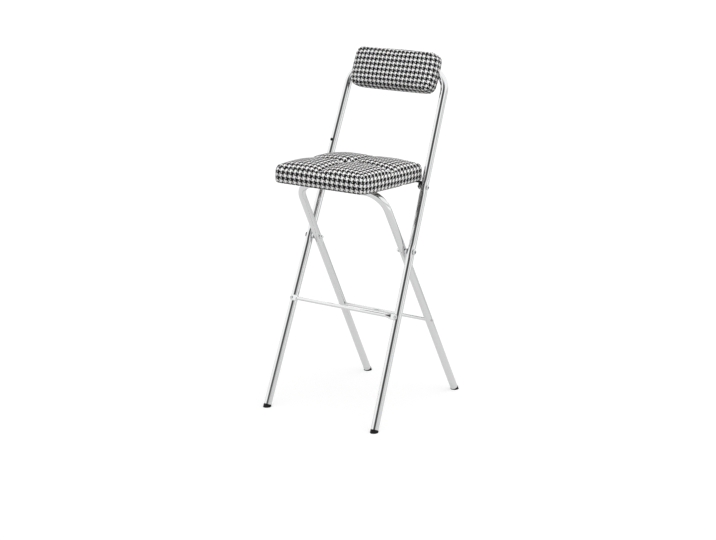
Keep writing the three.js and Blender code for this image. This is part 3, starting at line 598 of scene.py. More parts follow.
def footrest():
    bpy.ops.mesh.primitive_circle_add(
        vertices=40, radius=rod, fill_type="NOTHING",
        location=(0, rod_y, rest_line), rotation=(0, math.radians(90), 0),
    )
    bar = name_new("footrest")
    fix_place(bar)
    taper_from, taper_length = rest_leg - 29 * mm, 16 * mm
    stations = [(taper_from, rod_y, rod, rod)]
    for step in range(1, 8):
        share = step / 7
        flat = eased(share)
        stations.append((
            taper_from + taper_length * share, rod_y + (tab_y - rod_y) * flat,
            rod + (tab_thick - rod) * flat, rod + (tab_tall - rod) * flat,
        ))
    end = rest_leg + tab_reach
    for angle in (0, 25, 45, 62, 76, 86):
        turn_to = math.radians(angle)
        stations.append((
            end - tab_tall * (1 - math.sin(turn_to)), tab_y,
            tab_thick * (1 if angle < 70 else 0.7), tab_tall * max(0.12, math.cos(turn_to)),
        ))
    with editing(bar):
        bpy.ops.mesh.select_all(action="SELECT")
        here, deep, tall = Vector((0, rod_y, rest_line)), rod, rod
        for x, y, new_deep, new_tall in stations:
            there = Vector((x, y, rest_line))
            next_ring(here, there, (1, new_deep / deep, new_tall / tall))
            here, deep, tall = there, new_deep, new_tall
        bpy.ops.mesh.edge_face_add()
    mirror_half(bar)
    face_outwards(bar)
    smooth(bar, 40)
    into_frame(bar, "front_frame")
    return bar


finish_piece(footrest(), "front_frame", chrome, "footrest_bar")


# %% Turned pieces
def turned(name, profile, sides=32, ring=False):
    """Round work along Z from (radius, height) pairs in millimetres, bottom to top."""
    radius, height = profile[0]
    bpy.ops.mesh.primitive_circle_add(
        vertices=sides, radius=radius * mm, location=(0, 0, height * mm),
        fill_type="NOTHING" if ring else "NGON",
    )
    piece = name_new(name)
    fix_place(piece)
    with editing(piece):
        bpy.ops.mesh.select_all(action="SELECT")
        for new_radius, new_height in profile[1:]:
            extrude((0, 0, (new_height - height) * mm))
            grow = new_radius / radius
            bpy.ops.transform.resize(value=(grow, grow, 1), center_override=(0, 0, new_height * mm))
            radius, height = new_radius, new_height
    face_outwards(piece)
    return piece


def dome(radius, low, rise, steps=6, last=0.12):
    """Radius and height pairs of a dome that stands on height low."""
    pairs = []
    for step in range(steps + 1):
        angle = math.radians(90) * step / steps
        pairs.append((max(last, math.cos(angle)) * radius, low + math.sin(angle) * rise))
    return pairs


def aimed(piece, body, place, facing):
    """Turns a piece from +Z to its own direction, puts it in place and leans it with its body."""
    turn_to = Vector(facing).to_track_quat("Z", "Y").to_matrix().to_4x4()
    piece.matrix_world = Matrix.Translation(place) @ turn_to
    fix_place(piece)
    into_frame(piece, body)


# %% Rear rung
rung_line = 245.5 * mm / math.cos(rear_lean)
rung_half = (leg_half_width(rear_shape, rung_line) - tube_radius - gap) / mm
rung = turned("rung", [
    (4.4, -rung_half), (5.0, -rung_half + 0.3), (5.2, -rung_half + 1.0),
    (5.2, rung_half - 1.0), (5.0, rung_half - 0.3), (4.4, rung_half),
], 40)
smooth(rung)
aimed(rung, "rear_frame", (0, 0, rung_line), (1, 0, 0))
finish_piece(rung, "rear_frame", chrome, "rear_rung")


# %% Foot caps
def foot_cap(name, body, shape, side):
    cap_height = shape["start"] / mm
    top_at = cap_height - gap / mm
    profile = [
        (11.6, -14), (11.6, top_at - 2.1), (11.25, top_at - 1.9), (11.25, top_at - 1.5),
        (11.6, top_at - 1.3), (11.6, top_at - 0.9), (11.3, top_at - 0.35), (10.5, top_at),
        (9.3, top_at), (8.6, top_at + 0.6), (8.6, cap_height + 18), (7.6, cap_height + 20),
    ]
    cap = turned(name, profile, 48)
    tilt = Matrix.Rotation(side * math.atan(leg_slope(shape)), 4, "Y")
    cap.matrix_world = Matrix.Translation((side * shape["floor"], 0, 0)) @ tilt
    fix_place(cap)
    into_frame(cap, body)
    with editing(cap):
        bpy.ops.mesh.select_all(action="SELECT")
        bpy.ops.mesh.bisect(
            plane_co=(0, 0, 0), plane_no=(0, 0, 1), use_fill=True, clear_inner=True,
        )
        pick("FACE", lambda middle, facing, face: facing.z < -0.99 and middle.z < 0.0001)
        bpy.ops.mesh.inset(thickness=2.6 * mm)
        bpy.ops.mesh.inset(thickness=0.5 * mm, depth=-0.5 * mm)
    face_outwards(cap)
    smooth(cap, 30)
    return cap


for end, shape in frames:
    for word, side in both_sides:
        cap = foot_cap(f"{end}_cap_{word}", f"{end}_frame", shape, side)
        finish_piece(cap, f"{end}_frame", black_rubber, f"{end}_foot_cap_{word}")

# %% [markdown]
# ## Bolts, nuts and screws
# The fasteners are small, but they are what makes the joints look real. Bolt heads are low domes
# with a hexagon socket, screw heads have a cross recess, and the nuts at the two hinges are
# domed cap nuts. Each kind is modelled once: the head is turned, the recess is cut by a Boolean
# modifier, and each place then gets a copy with a mesh of its own.

# %% Bolts and screws
def bolt_kind(name, head, rise, shank, length, recess):
    profile = [(shank - 0.4, -length), (shank, -length + 0.6), (shank, -0.05), (head, 0)]
    profile += dome(head, 0.5, rise - 0.5)
    piece = turned(name, profile, 32)
    if recess == "hexagon":
        bpy.ops.mesh.primitive_cylinder_add(
            vertices=6, radius=head * 0.48 * mm, depth=rise * 1.7 * mm, location=(0, 0, rise * mm),
        )
        combine(piece, bpy.context.object, "DIFFERENCE")
    else:
        for angle in (0, 90):
            bpy.ops.mesh.primitive_cube_add(
                size=1, location=(0, 0, rise * mm), rotation=(0, 0, math.radians(angle)),
                scale=(head * 0.95 * mm, head * 0.22 * mm, rise * mm),
            )
            combine(piece, bpy.context.object, "DIFFERENCE")
    smooth(piece, 32)
    return piece


def cap_nut(name, corner, length):
    """A six-sided nut with a dome, open end at height 0."""
    hexagon_high = length * 0.52
    bpy.ops.mesh.primitive_cylinder_add(
        vertices=6, radius=corner * mm, depth=hexagon_high * mm,
        location=(0, 0, hexagon_high / 2 * mm),
    )
    nut = name_new(name)
    fix_place(nut)
    with editing(nut):
        pick("EDGE", lambda middle, along, edge: abs(along.z) < 0.1)
        bpy.ops.mesh.bevel(offset=0.5 * mm, segments=2)
    crown = turned("crown", [(corner * 0.8, hexagon_high * 0.5)]
                   + dome(corner * 0.83, hexagon_high, length - hexagon_high, 8), 32)
    combine(nut, crown, "UNION")
    smooth(nut, 32)
    return nut


def spacer(name, bore, radius, edge, length, sides):
    """A ring with broken edges; all but its length is in millimetres."""
    tall, flat = length / mm, radius - edge
    piece = turned(name, [
        (bore, 0), (flat, 0), (radius, edge), (radius, tall - edge), (flat, tall), (bore, tall),
        (bore, 0),
    ], sides, ring=True)
    smooth(piece)
    return piece


def place_pairs(line, kinds):
    """Puts each kind on both front legs, facing out (1) or in (-1), and removes the pattern."""
    for word, side in both_sides:
        for kind, x, facing, finish, node in kinds:
            piece = another(kind, f"{kind.name}_{word}")
            aimed(piece, "front_frame", (side * x, 0, line), (side * facing, 0, 0))
            finish_piece(piece, "front_frame", finish, f"{node}_{word}")
    for row in kinds:
        bpy.data.objects.remove(row[0])


# %% Scissor pivots
slant = 0.65 * mm
pivot_front = pivot_height / math.cos(front_lean)
pivot_rear = pivot_height / math.cos(rear_lean)
pivot_front_x = leg_half_width(front_shape, pivot_front)
pivot_rear_x = leg_half_width(rear_shape, pivot_rear)
pivot_head_x = pivot_front_x + flat_width + slant
pivot_nut_x = pivot_rear_x - flat_width - slant
spacer_low = pivot_rear_x + flat_width + slant
spacer_long = pivot_front_x - flat_width - slant - spacer_low
into_pivot_nut, into_hinge_nut = 5.6, 4.2
bolt_long = (pivot_head_x - pivot_nut_x) / mm + into_pivot_nut

pivot_bolt = bolt_kind("pivot_bolt", 8, 3.4, 4, bolt_long, "hexagon")
pivot_nut = cap_nut("pivot_nut", 7, 9)
pivot_spacer = spacer("pivot_spacer", 4.35, 8.5, 0.6, spacer_long, 40)
place_pairs(pivot_front, (
    (pivot_bolt, pivot_head_x, 1, zinc, "scissor_bolt"),
    (pivot_nut, pivot_nut_x, -1, chrome, "scissor_cap_nut"),
    (pivot_spacer, spacer_low, 1, zinc, "scissor_spacer"),
))

# %% Seat hinges
hinge_line = hinge_height / math.cos(front_lean)
hinge_leg = leg_half_width(front_shape, hinge_line)
hinge_head_x = hinge_leg + flat_width + slant
hinge_spacer_long, bracket_plate = 1.6 * mm, 3 * mm
hinge_spacer_x = hinge_leg - flat_width - slant - hinge_spacer_long
tab_outer = hinge_spacer_x - gap
tab_inner = tab_outer - bracket_plate
hinge_nut_x = tab_inner - gap
bolt_long = (hinge_head_x - hinge_nut_x) / mm + into_hinge_nut

hinge_bolt = bolt_kind("hinge_bolt", 6.5, 2.8, 3, bolt_long, "hexagon")
hinge_nut = cap_nut("hinge_nut", 5.4, 6.6)
hinge_spacer = spacer("hinge_spacer", 3.35, 8, 0.3, hinge_spacer_long, 36)
place_pairs(hinge_line, (
    (hinge_bolt, hinge_head_x, 1, zinc, "seat_hinge_bolt"),
    (hinge_nut, hinge_nut_x, -1, zinc, "seat_hinge_nut"),
    (hinge_spacer, hinge_spacer_x, 1, zinc, "seat_hinge_spacer"),
))

# %% Screws and the plug in the left leg
seat_half_width = tab_outer - 5.6 * mm
board_inset, screw_from_edge = 9 * mm, 7.4 * mm
stop_x, stop_wide, stop_reach = 62 * mm, 24 * mm, 26 * mm
lip_thick, lip_drop = 11 * mm, 14.35 * mm
board_screw_x = seat_half_width - board_inset - screw_from_edge
cross_height = cross_line * math.cos(rear_lean)
cross_y = rear_foot_y - cross_line * math.sin(rear_lean)
cross_in_seat = lean["seat"].inverted() @ Vector((0, cross_y, cross_height))
stop_lip_y = cross_in_seat.y - tube_radius - gap
stop_screw_y = stop_lip_y - lip_thick / 2
back_drop, back_behind = 13 * mm, 6 * mm
back_centre = front_shape["bend_at"] + front_shape["bend"] - back_drop
lean["backrest"] = (
    lean["front_frame"] @ Matrix.Translation((0, back_behind, back_centre))
    @ Matrix.Rotation(math.radians(90), 4, "X")
)

# Each row: body, frame it is drawn in, length in millimetres, facing and place of the right one.
flange_face = -gap * 2 - bracket_plate
lip_face = -gap * 2 - stop_plate - lip_drop
screw_places = {
    "footrest_screw": ("front_frame", "front_frame", 10, (0, -1, 0),
                       (rest_leg, -tube_radius - gap * 2 - tab_thick * 2, rest_line)),
    "rung_screw": ("rear_frame", "rear_frame", 38, (1, 0, 0),
                   (leg_half_width(rear_shape, rung_line) + tube_radius + gap, 0, rung_line)),
    "bracket_screw_rear": ("seat", "seat", 9, (0, 0, -1),
                           (board_screw_x, hinge_in_seat - 20 * mm, flange_face)),
    "bracket_screw_front": ("seat", "seat", 9, (0, 0, -1),
                            (board_screw_x, hinge_in_seat - 46 * mm, flange_face)),
    "stop_screw": ("seat", "seat", 26.7, (0, 0, -1), (stop_x, stop_screw_y, lip_face)),
    "backrest_screw": ("front_frame", "backrest", 28.2, (0, 0, -1),
                       (70 * mm, back_drop, back_behind - tube_radius - gap)),
}
for node, (body, drawn_in, length, facing, place) in screw_places.items():
    screw = bolt_kind("screw", 4.8, 2.6, 2.4, length, "cross")
    for word, side in both_sides:
        piece = another(screw, f"{node.replace('screw', 'cross_screw')}_{word}")
        where = (side * place[0], place[1], place[2])
        aimed(piece, drawn_in, where, (side * facing[0], facing[1], facing[2]))
        finish_piece(piece, body, zinc, f"{node}_{word}")
    bpy.data.objects.remove(screw)

plug_line = 742 * mm / math.cos(front_lean)
plug = turned("leg_plug", [(2.6, -6), (3, -5.4), (3, 0), (4.0, 0), (4.2, 0.25)]
              + dome(4.2, 0.7, 2.3), 32)
smooth(plug)
plug_x = -leg_half_width(front_shape, plug_line)
aimed(plug, "front_frame", (plug_x, -tube_radius - gap, plug_line), (0, -1, 0))
finish_piece(plug, "front_frame", black_rubber, "left_leg_plug")

# %% [markdown]
# ## Boards, brackets and stops
# The pads are built on plywood boards, which show from below. The seat's steel brackets carry it
# on the hinge bolts, and two plastic stops under it catch the cross tube. Plates start as cubes:
# their upright edges are bevelled to the plan's corners, then every edge is broken a little, as
# a router, a press or a mould would leave it.

# %% Plates
def plate(name, low, high, corner=0.0, edge=0.5, steps=6):
    """A slab between two corners, in millimetres, with round corners in plan."""
    middle = [(a + b) / 2 * mm for a, b in zip(low, high)]
    size = [(b - a) * mm for a, b in zip(low, high)]
    bpy.ops.mesh.primitive_cube_add(size=1, location=middle, scale=size)
    slab = name_new(name)
    fix_place(slab)
    with editing(slab):
        if corner:
            pick("EDGE", lambda middle, along, edge: abs(along.z) > 0.9)
            bpy.ops.mesh.bevel(offset=corner * mm, segments=steps)
        if edge:
            pick("EDGE", lambda middle, along, part: part.is_manifold
                 and part.calc_face_angle(0) > math.radians(40))
            bpy.ops.mesh.bevel(offset=edge * mm, segments=2)
    return slab


# %% Seat board and backrest board
half_w, half_d = (seat_half_width - board_inset) / mm, (seat_half_depth - board_inset) / mm
seat_board = plate("seat_plywood", (-half_w, -half_d, 0.35), (half_w, half_d, 12.35), 20, 1.0, 8)
back_board = plate("back_plywood", (-122, -40, 17.35), (122, 40, 25.35), 12, 0.8, 6)
for board, drawn_in, body, node in (
    (seat_board, "seat", "seat", "seat_board"),
    (back_board, "backrest", "front_frame", "backrest_board"),
):
    smooth(board, 30)
    into_frame(board, drawn_in)
    finish_piece(board, body, plywood, node)


# %% Seat brackets
def seat_bracket(name):
    """A rounded tab on the hinge bolt, with a neck to a flange under the board."""
    hinge, high_x, screw_x = hinge_in_seat / mm, tab_outer / mm, board_screw_x / mm
    tab_radius, half_flange, beyond_screw = 7.6, 32, 12
    high = -gap / mm
    low = high - bracket_plate / mm
    bpy.ops.mesh.primitive_cylinder_add(
        vertices=40, radius=tab_radius * mm, depth=bracket_plate, rotation=(0, math.radians(90), 0),
        location=((tab_inner + tab_outer) / 2, hinge_in_seat, -seat_above_hinge),
    )
    tab = name_new(name)
    fix_place(tab)
    with editing(tab):
        pick("FACE", lambda middle, facing, face: abs(facing.x) < 0.5 and facing.z > 0.02)
        extrude((0, 0, seat_above_hinge - 1.9 * mm))
        bpy.ops.mesh.select_all(action="SELECT")
        bpy.ops.mesh.bisect(
            plane_co=(0, 0, -1.5 * mm), plane_no=(0, 0, 1), use_fill=True, clear_outer=True,
        )
    face_outwards(tab)
    rear_side = hinge + tab_radius
    neck = plate("neck", (screw_x, hinge - tab_radius, low), (high_x, rear_side, high), 0, 0)
    combine(tab, neck, "UNION")
    middle = rear_side - half_flange
    flange = plate("flange", (screw_x - beyond_screw, middle - half_flange, low),
                   (half_w + 2, middle + half_flange, high), 4, 0)
    combine(tab, flange, "UNION")
    face_outwards(tab)
    break_edges(tab, 0.45)
    face_outwards(tab)
    smooth(tab, 35)
    return tab


for word, side in both_sides:
    bracket = seat_bracket(f"bracket_{word}")
    if side < 0:
        bracket.scale.x = -1
        fix_place(bracket)
        face_outwards(bracket)
    into_frame(bracket, "seat")
    finish_piece(bracket, "seat", black_steel, f"seat_bracket_{word}")


# %% Stops for the cross tube
def tube_stop(name, side):
    bpy.ops.mesh.primitive_cube_add(
        size=1, location=(side * stop_x, stop_screw_y, -gap - stop_plate / 2),
        scale=(stop_wide, lip_thick, stop_plate),
    )
    stop = name_new(name)
    fix_place(stop)
    with editing(stop):
        pick("FACE", lambda middle, facing, face: facing.y > 0.9)
        extrude((0, stop_reach, 0))
        pick("FACE", lambda middle, facing, face: facing.z < -0.9 and middle.y < stop_lip_y)
        extrude((0, 0, -lip_drop))
        pick("EDGE", lambda middle, along, edge: abs(along.z) > 0.9
             and abs(middle.y - stop_screw_y) < 20 * mm)
        bpy.ops.mesh.bevel(offset=1.2 * mm, segments=3)
    break_edges(stop, 0.4)
    face_outwards(stop)
    smooth(stop, 35)
    into_frame(stop, "seat")
    return stop


for word, side in both_sides:
    finish_piece(tube_stop(f"tube_stop_{word}", side), "seat", black_plastic,
                 f"cross_tube_stop_{word}")

# %% [markdown]
# ## Cushions
# Each pad is foam on a board under one sheet of cloth, pulled down over the sides and folded
# under. A flat grid is the sheet: its rim is pulled down ring by ring for the sides, and a form
# function then lifts every point to where the foam holds it. The grid's own numbers give the
# map of the cloth, so the check runs straight over the top and down each side, and meets itself
# at the corners as a real cover does.

# %% The sheet and its map
def flat_sheet(name, columns, rows, rings):
    """A grid from -1 to 1 whose rim is pulled down one unit for each ring."""
    bpy.ops.mesh.primitive_grid_add(x_subdivisions=columns, y_subdivisions=rows, size=2)
    sheet = name_new(name)
    with editing(sheet):
        pick_rim()
        for ring in range(rings):
            extrude((0, 0, -1))
    put_in_order(sheet)
    return sheet


def rounded_point(alpha, beta, half_width, half_depth, corner):
    """Where a grid point lies in a plan with round corners that grow towards the rim."""
    reach = max(abs(alpha), abs(beta))
    if reach < 1e-6:
        return 0.0, 0.0
    wide, deep, radius = reach * half_width, reach * half_depth, corner * reach ** 3
    on_long = abs(beta) >= abs(alpha)
    along_half, across_half = (wide, deep) if on_long else (deep, wide)
    along = abs(alpha if on_long else beta) / reach * along_half
    across = across_half
    straight = along_half - radius
    if along > straight:
        angle = (along - straight) / radius * math.radians(45)
        along = straight + radius * math.sin(angle)
        across = across_half - radius * (1 - math.cos(angle))
    x, y = (along, across) if on_long else (across, along)
    return math.copysign(x, alpha), math.copysign(y, beta)


def lengths_along(heights, half_length, cells):
    """Length of cloth from the middle to each grid line, over a row of heights."""
    lengths = [0.0]
    step = half_length / cells
    for low, high in zip(heights, heights[1:]):
        lengths.append(lengths[-1] + math.hypot(step, high - low))
    return lengths


class Pad:
    """Numbers of one cushion, in millimetres, in its own upright frame."""

    def __init__(self, **numbers):
        self.__dict__.update(numbers)

    def height(self, x, y):
        reach = self.rim * (self.top_reach if y > 0 else 1)
        u = min(1, abs(x) / (self.rim * (self.half_width + self.bow)))
        v = min(1, abs(y) / (reach * self.half_depth))
        swell = max(0.0, (1 - u ** self.power) * (1 - v ** self.power))
        width_x = self.crease_width * (1 + 0.5 * abs(y) / self.half_depth)
        width_y = self.crease_width * (1 + 0.6 * abs(x) / self.half_width)
        lengthwise = 1 - max(0, y / self.half_depth) ** 1.5
        crosswise = 0.85 + 0.5 * abs(x) / self.half_width
        fold = (lengthwise * math.exp(-(abs(x) / width_x) ** 1.5)
                + crosswise * math.exp(-(abs(y) / width_y) ** 1.5))
        tuft = math.exp(-(x * x + y * y) / self.tuft_radius ** 2)
        crease = self.crease * min(1.3, fold) * swell ** self.crease_fade
        return self.side + self.crown * swell ** 0.5 - crease - self.tuft * tuft

    def plan(self, alpha, beta):
        x, y = rounded_point(alpha, beta, self.half_width, self.half_depth, self.corner)
        bow = 1 + self.bow / self.half_width * (1 - (y / self.half_depth) ** 2)
        return x * bow, y

    def place(self, alpha, beta, ring):
        x, y = self.plan(alpha, beta)
        across, up = (self.rim, 1) if ring == 0 else self.rings[ring - 1]
        x = x * across
        y = y * (1 - (1 - across) * (self.top_rounding if y > 0 else 1))
        high = self.height(x, y) if ring == 0 else self.side * up
        if up < 0:
            high *= min(1, max(0, (self.sag_until - y) / 25))
        return Vector((x, y, high)) * mm


# %% Shaping the sheet
def cloth_layer(mesh):
    layer = mesh.uv_layers[0] if mesh.uv_layers else mesh.uv_layers.new(name="cloth")
    layer.name = "cloth"
    return layer


def shape_sheet(sheet, pad, columns, rows):
    half_columns, half_rows = columns // 2, rows // 2
    row_heights = [pad.height(i / half_columns * pad.half_width * pad.rim, pad.half_depth * 0.5)
                   for i in range(half_columns + 1)]
    column_heights = [pad.height(pad.half_width * 0.5, i / half_rows * pad.half_depth * pad.rim)
                      for i in range(half_rows + 1)]
    over_x = lengths_along(row_heights, pad.half_width * pad.rim, half_columns)
    over_y = lengths_along(column_heights, pad.half_depth * pad.rim, half_rows)
    over_x = [length / pad.stretch[0] for length in over_x]
    over_y = [length / pad.stretch[1] for length in over_y]
    drops = [0.0]
    across, up = pad.rim, 1.0
    for new_across, new_up in pad.rings:
        down = math.hypot((new_across - across) * pad.half_width, (new_up - up) * pad.side)
        drops.append(drops[-1] + down / pad.stretch[2])
        across, up = new_across, new_up
    mesh = sheet.data
    numbers = [tuple(corner.co) for corner in mesh.vertices]
    cloth_map = cloth_layer(mesh)
    for face in mesh.polygons:
        middle = [sum(numbers[v][axis] for v in face.vertices) / len(face.vertices)
                  for axis in range(2)]
        on_end = abs(middle[1]) >= abs(middle[0])
        for loop in face.loop_indices:
            alpha, beta, low = numbers[mesh.loops[loop].vertex_index]
            ring = round(-low)
            x = over_x[round(abs(alpha) * half_columns)]
            y = over_y[round(abs(beta) * half_rows)]
            if ring and on_end:
                y += drops[ring]
            elif ring:
                x += drops[ring]
            u, v = math.copysign(x, alpha), math.copysign(y, beta)
            cloth_map.data[loop].uv = ((u + pad.phase[0]) * mm, (v + pad.phase[1]) * mm)
    for corner, (alpha, beta, low) in zip(mesh.vertices, numbers):
        corner.co = pad.place(alpha, beta, round(-low))
    mesh.update()


# %% [markdown]
# The foam presses the cloth outwards between the places that hold it. Blender's Cloth does this
# on the shaped sheet: the hem and the button's place are pinned, pressure blows the rest up, and
# gravity is off because the foam carries the weight. Each point's move is capped, so that the
# pad keeps its size. One level of subdivision then rounds the result. The sheet's corners are
# sorted beforehand, since Cloth carries any change in their order through to the shape.

# %% Letting the cloth settle
settle_frames = 20


def settle_cloth(sheet, held, pressure, cap):
    """Runs Cloth on the sheet; held(point) from 0 to 1 says how firmly each point is pinned."""
    before = [corner.co.copy() for corner in sheet.data.vertices]
    pins = sheet.vertex_groups.new(name="held")
    for corner in sheet.data.vertices:
        weight = held(corner.co)
        if weight > 0:
            pins.add([corner.index], weight, "REPLACE")
    choose(sheet)
    bpy.ops.object.modifier_add(type="CLOTH")
    simulation = sheet.modifiers["Cloth"]
    settings = simulation.settings
    settings.quality = 6
    settings.mass = 0.3
    settings.tension_stiffness = settings.compression_stiffness = 12
    settings.shear_stiffness = 4
    settings.bending_stiffness = 1.2
    settings.use_pressure = True
    settings.uniform_pressure_force = pressure
    settings.effector_weights.gravity = 0
    settings.vertex_group_mass = "held"
    settings.pin_stiffness = 3
    simulation.collision_settings.use_self_collision = False
    scene = bpy.context.scene
    for frame_number in range(1, settle_frames + 1):
        scene.frame_set(frame_number)
        bpy.context.view_layer.update()
    bpy.ops.object.modifier_apply(modifier="Cloth")
    scene.frame_set(1)
    moved = []
    for corner, start in zip(sheet.data.vertices, before):
        step = corner.co - start
        if step.length > cap * mm:
            step *= cap * mm / step.length
        corner.co = start + step
        moved.append(step.length / mm)
    sheet.vertex_groups.clear()
    print(sheet.name, "cloth moved", round(sum(moved) / len(moved), 2), "mm on average,",
          round(max(moved), 2), "at most")


def make_pad(name, pad, columns, rows, held, pressure, cap):
    """The sheet of one pad, shaped, settled and subdivided once, still open below."""
    sheet = flat_sheet(name, columns, rows, len(pad.rings))
    shape_sheet(sheet, pad, columns, rows)
    settle_cloth(sheet, held, pressure, cap)
    use_modifier(sheet, "SUBSURF", levels=1, render_levels=1)
    return sheet


# %% Cloth on the underside
def map_underside(piece, looks_down=-0.6):
    """Maps faces that look down the pad's own Z straight from above: no check is stretched."""
    cloth_map, corners = piece.data.uv_layers["cloth"], piece.data.vertices
    for face in piece.data.polygons:
        if face.normal.z < looks_down:
            for loop in face.loop_indices:
                place = corners[piece.data.loops[loop].vertex_index].co
                cloth_map.data[loop].uv = (place.x, place.y)


def finish_pad(piece, drawn_in, body, node):
    map_underside(piece)
    smooth(piece, 60)
    into_frame(piece, drawn_in)
    finish_piece(piece, body, cloth, node)


# %% Seat cushion
seat_pad = Pad(
    half_width=seat_half_width / mm, half_depth=seat_half_depth / mm, bow=3, corner=17,
    side=44, rim=0.967, crown=18.5, power=2.6, crease=11, crease_width=13, crease_fade=0.12,
    tuft=13, tuft_radius=24, top_reach=1, top_rounding=1, sag_until=52,
    stretch=(1.07, 1.06, 1.09), phase=(-5.9, -6.8),
    rings=[(0.981, 0.945), (0.991, 0.87), (0.997, 0.77), (1.0, 0.63), (1.0, 0.49),
           (1.0, 0.35), (1.0, 0.21), (0.999, 0.08), (0.993, -0.03), (0.97, -0.07)],
)


def seat_held(point):
    x, y, z = point / mm
    hem = 1.0 if z < 1.5 else max(0.0, 0.5 - z / 20)
    button = 1.0 if x * x + y * y < 10 ** 2 else 0.0
    crease = 0.25 * math.exp(-(min(abs(x), abs(y)) / 4) ** 2) if z > 44 else 0
    return min(1.0, max(hem, button, crease))


seat_cushion = make_pad("seat_pad", seat_pad, 58, 54, seat_held, pressure=4.0, cap=5)


# %% The hem under the seat
def pull_ring(to_x, to_y, to_z):
    """Extrudes the open rim to a new half width, half depth and height, in millimetres."""
    pick_rim()
    shell = bmesh.from_edit_mesh(bpy.context.edit_object.data)
    rim = [corner.co for corner in shell.verts if corner.select]
    wide = max(abs(place.x) for place in rim)
    deep = max(abs(place.y) for place in rim)
    high = sum(place.z for place in rim) / len(rim)
    extrude((0, 0, to_z * mm - high))
    bpy.ops.transform.resize(
        value=(to_x * mm / wide, to_y * mm / deep, 0), center_override=(0, 0, to_z * mm),
    )


with editing(seat_cushion):
    for inset, height in ((22, -0.18), (24, -0.1), (24, 0.12)):
        pull_ring(seat_pad.half_width - inset, seat_pad.half_depth - inset, height)
    for height in (0.12, 12.9):
        pull_ring(half_w + 0.6, half_d + 0.6, height)
    fill_rim()
face_outwards(seat_cushion)
finish_pad(seat_cushion, "seat", "seat", "seat_cushion")

# %% Covered button
button_low = seat_pad.height(0, 0) + 0.2
button = turned("seat_button_cover", [
    (1.8, -28), (1.8, 0.2), (9.2, 0.2), (10.4, 0.8), (11, 2.0), (10.9, 2.9), (10.4, 3.9),
    (9.3, 4.9), (7.6, 5.8), (5.4, 6.5), (2.8, 6.9), (0.9, 7.0),
], 40)
button.location = (0, 0, button_low * mm)
fix_place(button)
button_map = cloth_layer(button.data)
for loop in button.data.loops:
    place = button.data.vertices[loop.vertex_index].co
    button_map.data[loop.index].uv = (place.x + 0.004, place.y + 0.002)
smooth(button, 40)
into_frame(button, "seat")
finish_piece(button, "seat", cloth, "seat_button")

# %% Backrest cushion
back_pad = Pad(
    half_width=138.5, half_depth=57, bow=4, corner=19, side=42, rim=0.965,
    crown=6, power=3, crease=0, crease_width=13, crease_fade=0.3,
    tuft=0, tuft_radius=24, top_reach=1.15, top_rounding=0.35, sag_until=0,
    stretch=(0.93, 0.96, 1.0), phase=(3.9, -2.0),
    rings=[(0.982, 0.955), (0.992, 0.89), (0.998, 0.8), (1.0, 0.68), (1.0, 0.54),
           (0.998, 0.4), (0.993, 0.27), (0.985, 0.15), (0.97, 0.05), (0.945, 0.0)],
)


def back_held(point):
    z = point.z / mm
    return 1.0 if z < 1 else max(0.0, 0.5 - z / 20)


back_cushion = make_pad("back_pad", back_pad, 52, 22, back_held, pressure=2.5, cap=2.5)
with editing(back_cushion):
    pull_ring(128, 46, 0.0)
    pull_ring(124, 42, 0.4)
    fill_rim()
face_outwards(back_cushion)

# %% The channel for the hoop
channel = half_hoop({**front_shape, "flats": [], "start": 850 * mm}, tube_radius + 0.5 * mm, 40)
mirror_half(channel)
with editing(channel):
    fill_rim()
face_outwards(channel)
channel.matrix_world = lean["backrest"].inverted() @ lean["front_frame"]
fix_place(channel)
combine(back_cushion, channel, "DIFFERENCE")
pocket = plate("pocket", (-122.4, -40.4, 17.0), (122.4, 40.4, 25.7), 12, 0)
combine(back_cushion, pocket, "DIFFERENCE")
finish_pad(back_cushion, "backrest", "front_frame", "backrest_cushion")

# %% [markdown]
# ## Studio
# The photograph has a white ground and soft light from every side, a little stronger from above
# and in front. A white floor and a pale world give that, with one very wide lamp overhead. Chrome
# shows what stands round it, so the world has a softly edged dark area in front of the stool, as
# the dark end of a studio, which draws the thin dark line down each front tube.

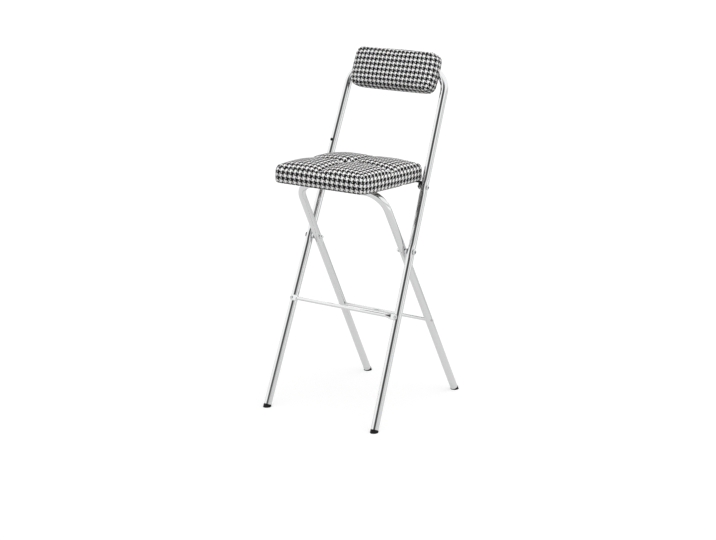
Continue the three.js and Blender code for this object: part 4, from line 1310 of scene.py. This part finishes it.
# %% World
def studio_world():
    world = bpy.data.worlds.new("studio")
    bpy.context.scene.world = world
    recipe = Recipe("studio", world)
    direction = recipe.add("ShaderNodeTexCoord", {}, {}, output="Generated")
    x, y, z = recipe.axes(direction)
    level_length = (x * x + y * y + 0.0001) ** 0.5
    dark_way = math.radians(19)
    toward = (x * math.sin(dark_way) - y * math.cos(dark_way)) / level_length
    strip = recipe.spread(toward, math.cos(math.radians(45)), math.cos(math.radians(22)))
    band = recipe.spread(z, 0.12, 0.34) * (1 - recipe.spread(z, 0.7, 0.92))
    right_side = recipe.spread(x, 0.2, 0.8)
    low_side = right_side * (1 - recipe.spread(z, 0.16, 0.3))
    mirrored = 1.3 - low_side * 0.45 - strip * band * 1.2
    camera_ray, glossy_ray, through_ray = recipe.rays()
    lit = x * 0.44 - y * 0.18 + z * 0.25 + 0.7
    plain = (1 - camera_ray) * (1 - glossy_ray) * (1 - through_ray) * lit
    strength = plain + camera_ray + through_ray + glossy_ray * mirrored
    shader = recipe.add("ShaderNodeBackground", {}, {"Color": grey(1.0), "Strength": strength})
    recipe.close(shader, "ShaderNodeOutputWorld")


studio_world()


# %% Floor
def floor_finish():
    recipe = Recipe("floor")
    seen, mirrored, through = recipe.rays()
    x, y = recipe.axes(recipe.place())[:2]
    away = (x * x + y * y + 0.0001) ** 0.5
    # Camera rays see an even glow that keeps the floor white. Reflection rays see a painted
    # reflection: the floor glows less behind the stool and more off to its right, so the chrome
    # shows a darker and a lighter patch there.
    behind = recipe.spread((x * 0.2 + y * 0.98) / away, 0.5, 0.95) * recipe.spread(away, 0.6, 2.2)
    beside = recipe.spread((x * 0.84 + y * 0.54) / away, 0.5, 0.95) * recipe.spread(away, 1.2, 3.2)
    base = recipe.add("ShaderNodeBsdfDiffuse", {}, {"Color": grey(0.47)})
    shine = (seen + through) * 0.57 + mirrored * (0.47 - behind * 0.36 + beside * 0.5)
    glow = recipe.add("ShaderNodeEmission", {}, {"Strength": shine})
    both = recipe.add("ShaderNodeAddShader", {}, {0: base, 1: glow})
    return recipe.close(both)


bpy.ops.mesh.primitive_plane_add(size=60)
floor = name_new("floor")
floor.data.materials.append(floor_finish())

# %% Lamp
# A very wide sun: it lights the floor evenly and leaves no edge in the shadow.
toward_lamp = Vector((0.38, -0.2, 0.9))
bpy.ops.object.light_add(type="SUN", location=toward_lamp * 3)
lamp = bpy.context.object
lamp.name = "overhead"
lamp.data.angle = math.radians(80)
lamp.data.energy = 0.55
lamp.rotation_euler = toward_lamp.to_track_quat("Z", "Y").to_euler()
lamp.visible_glossy = False
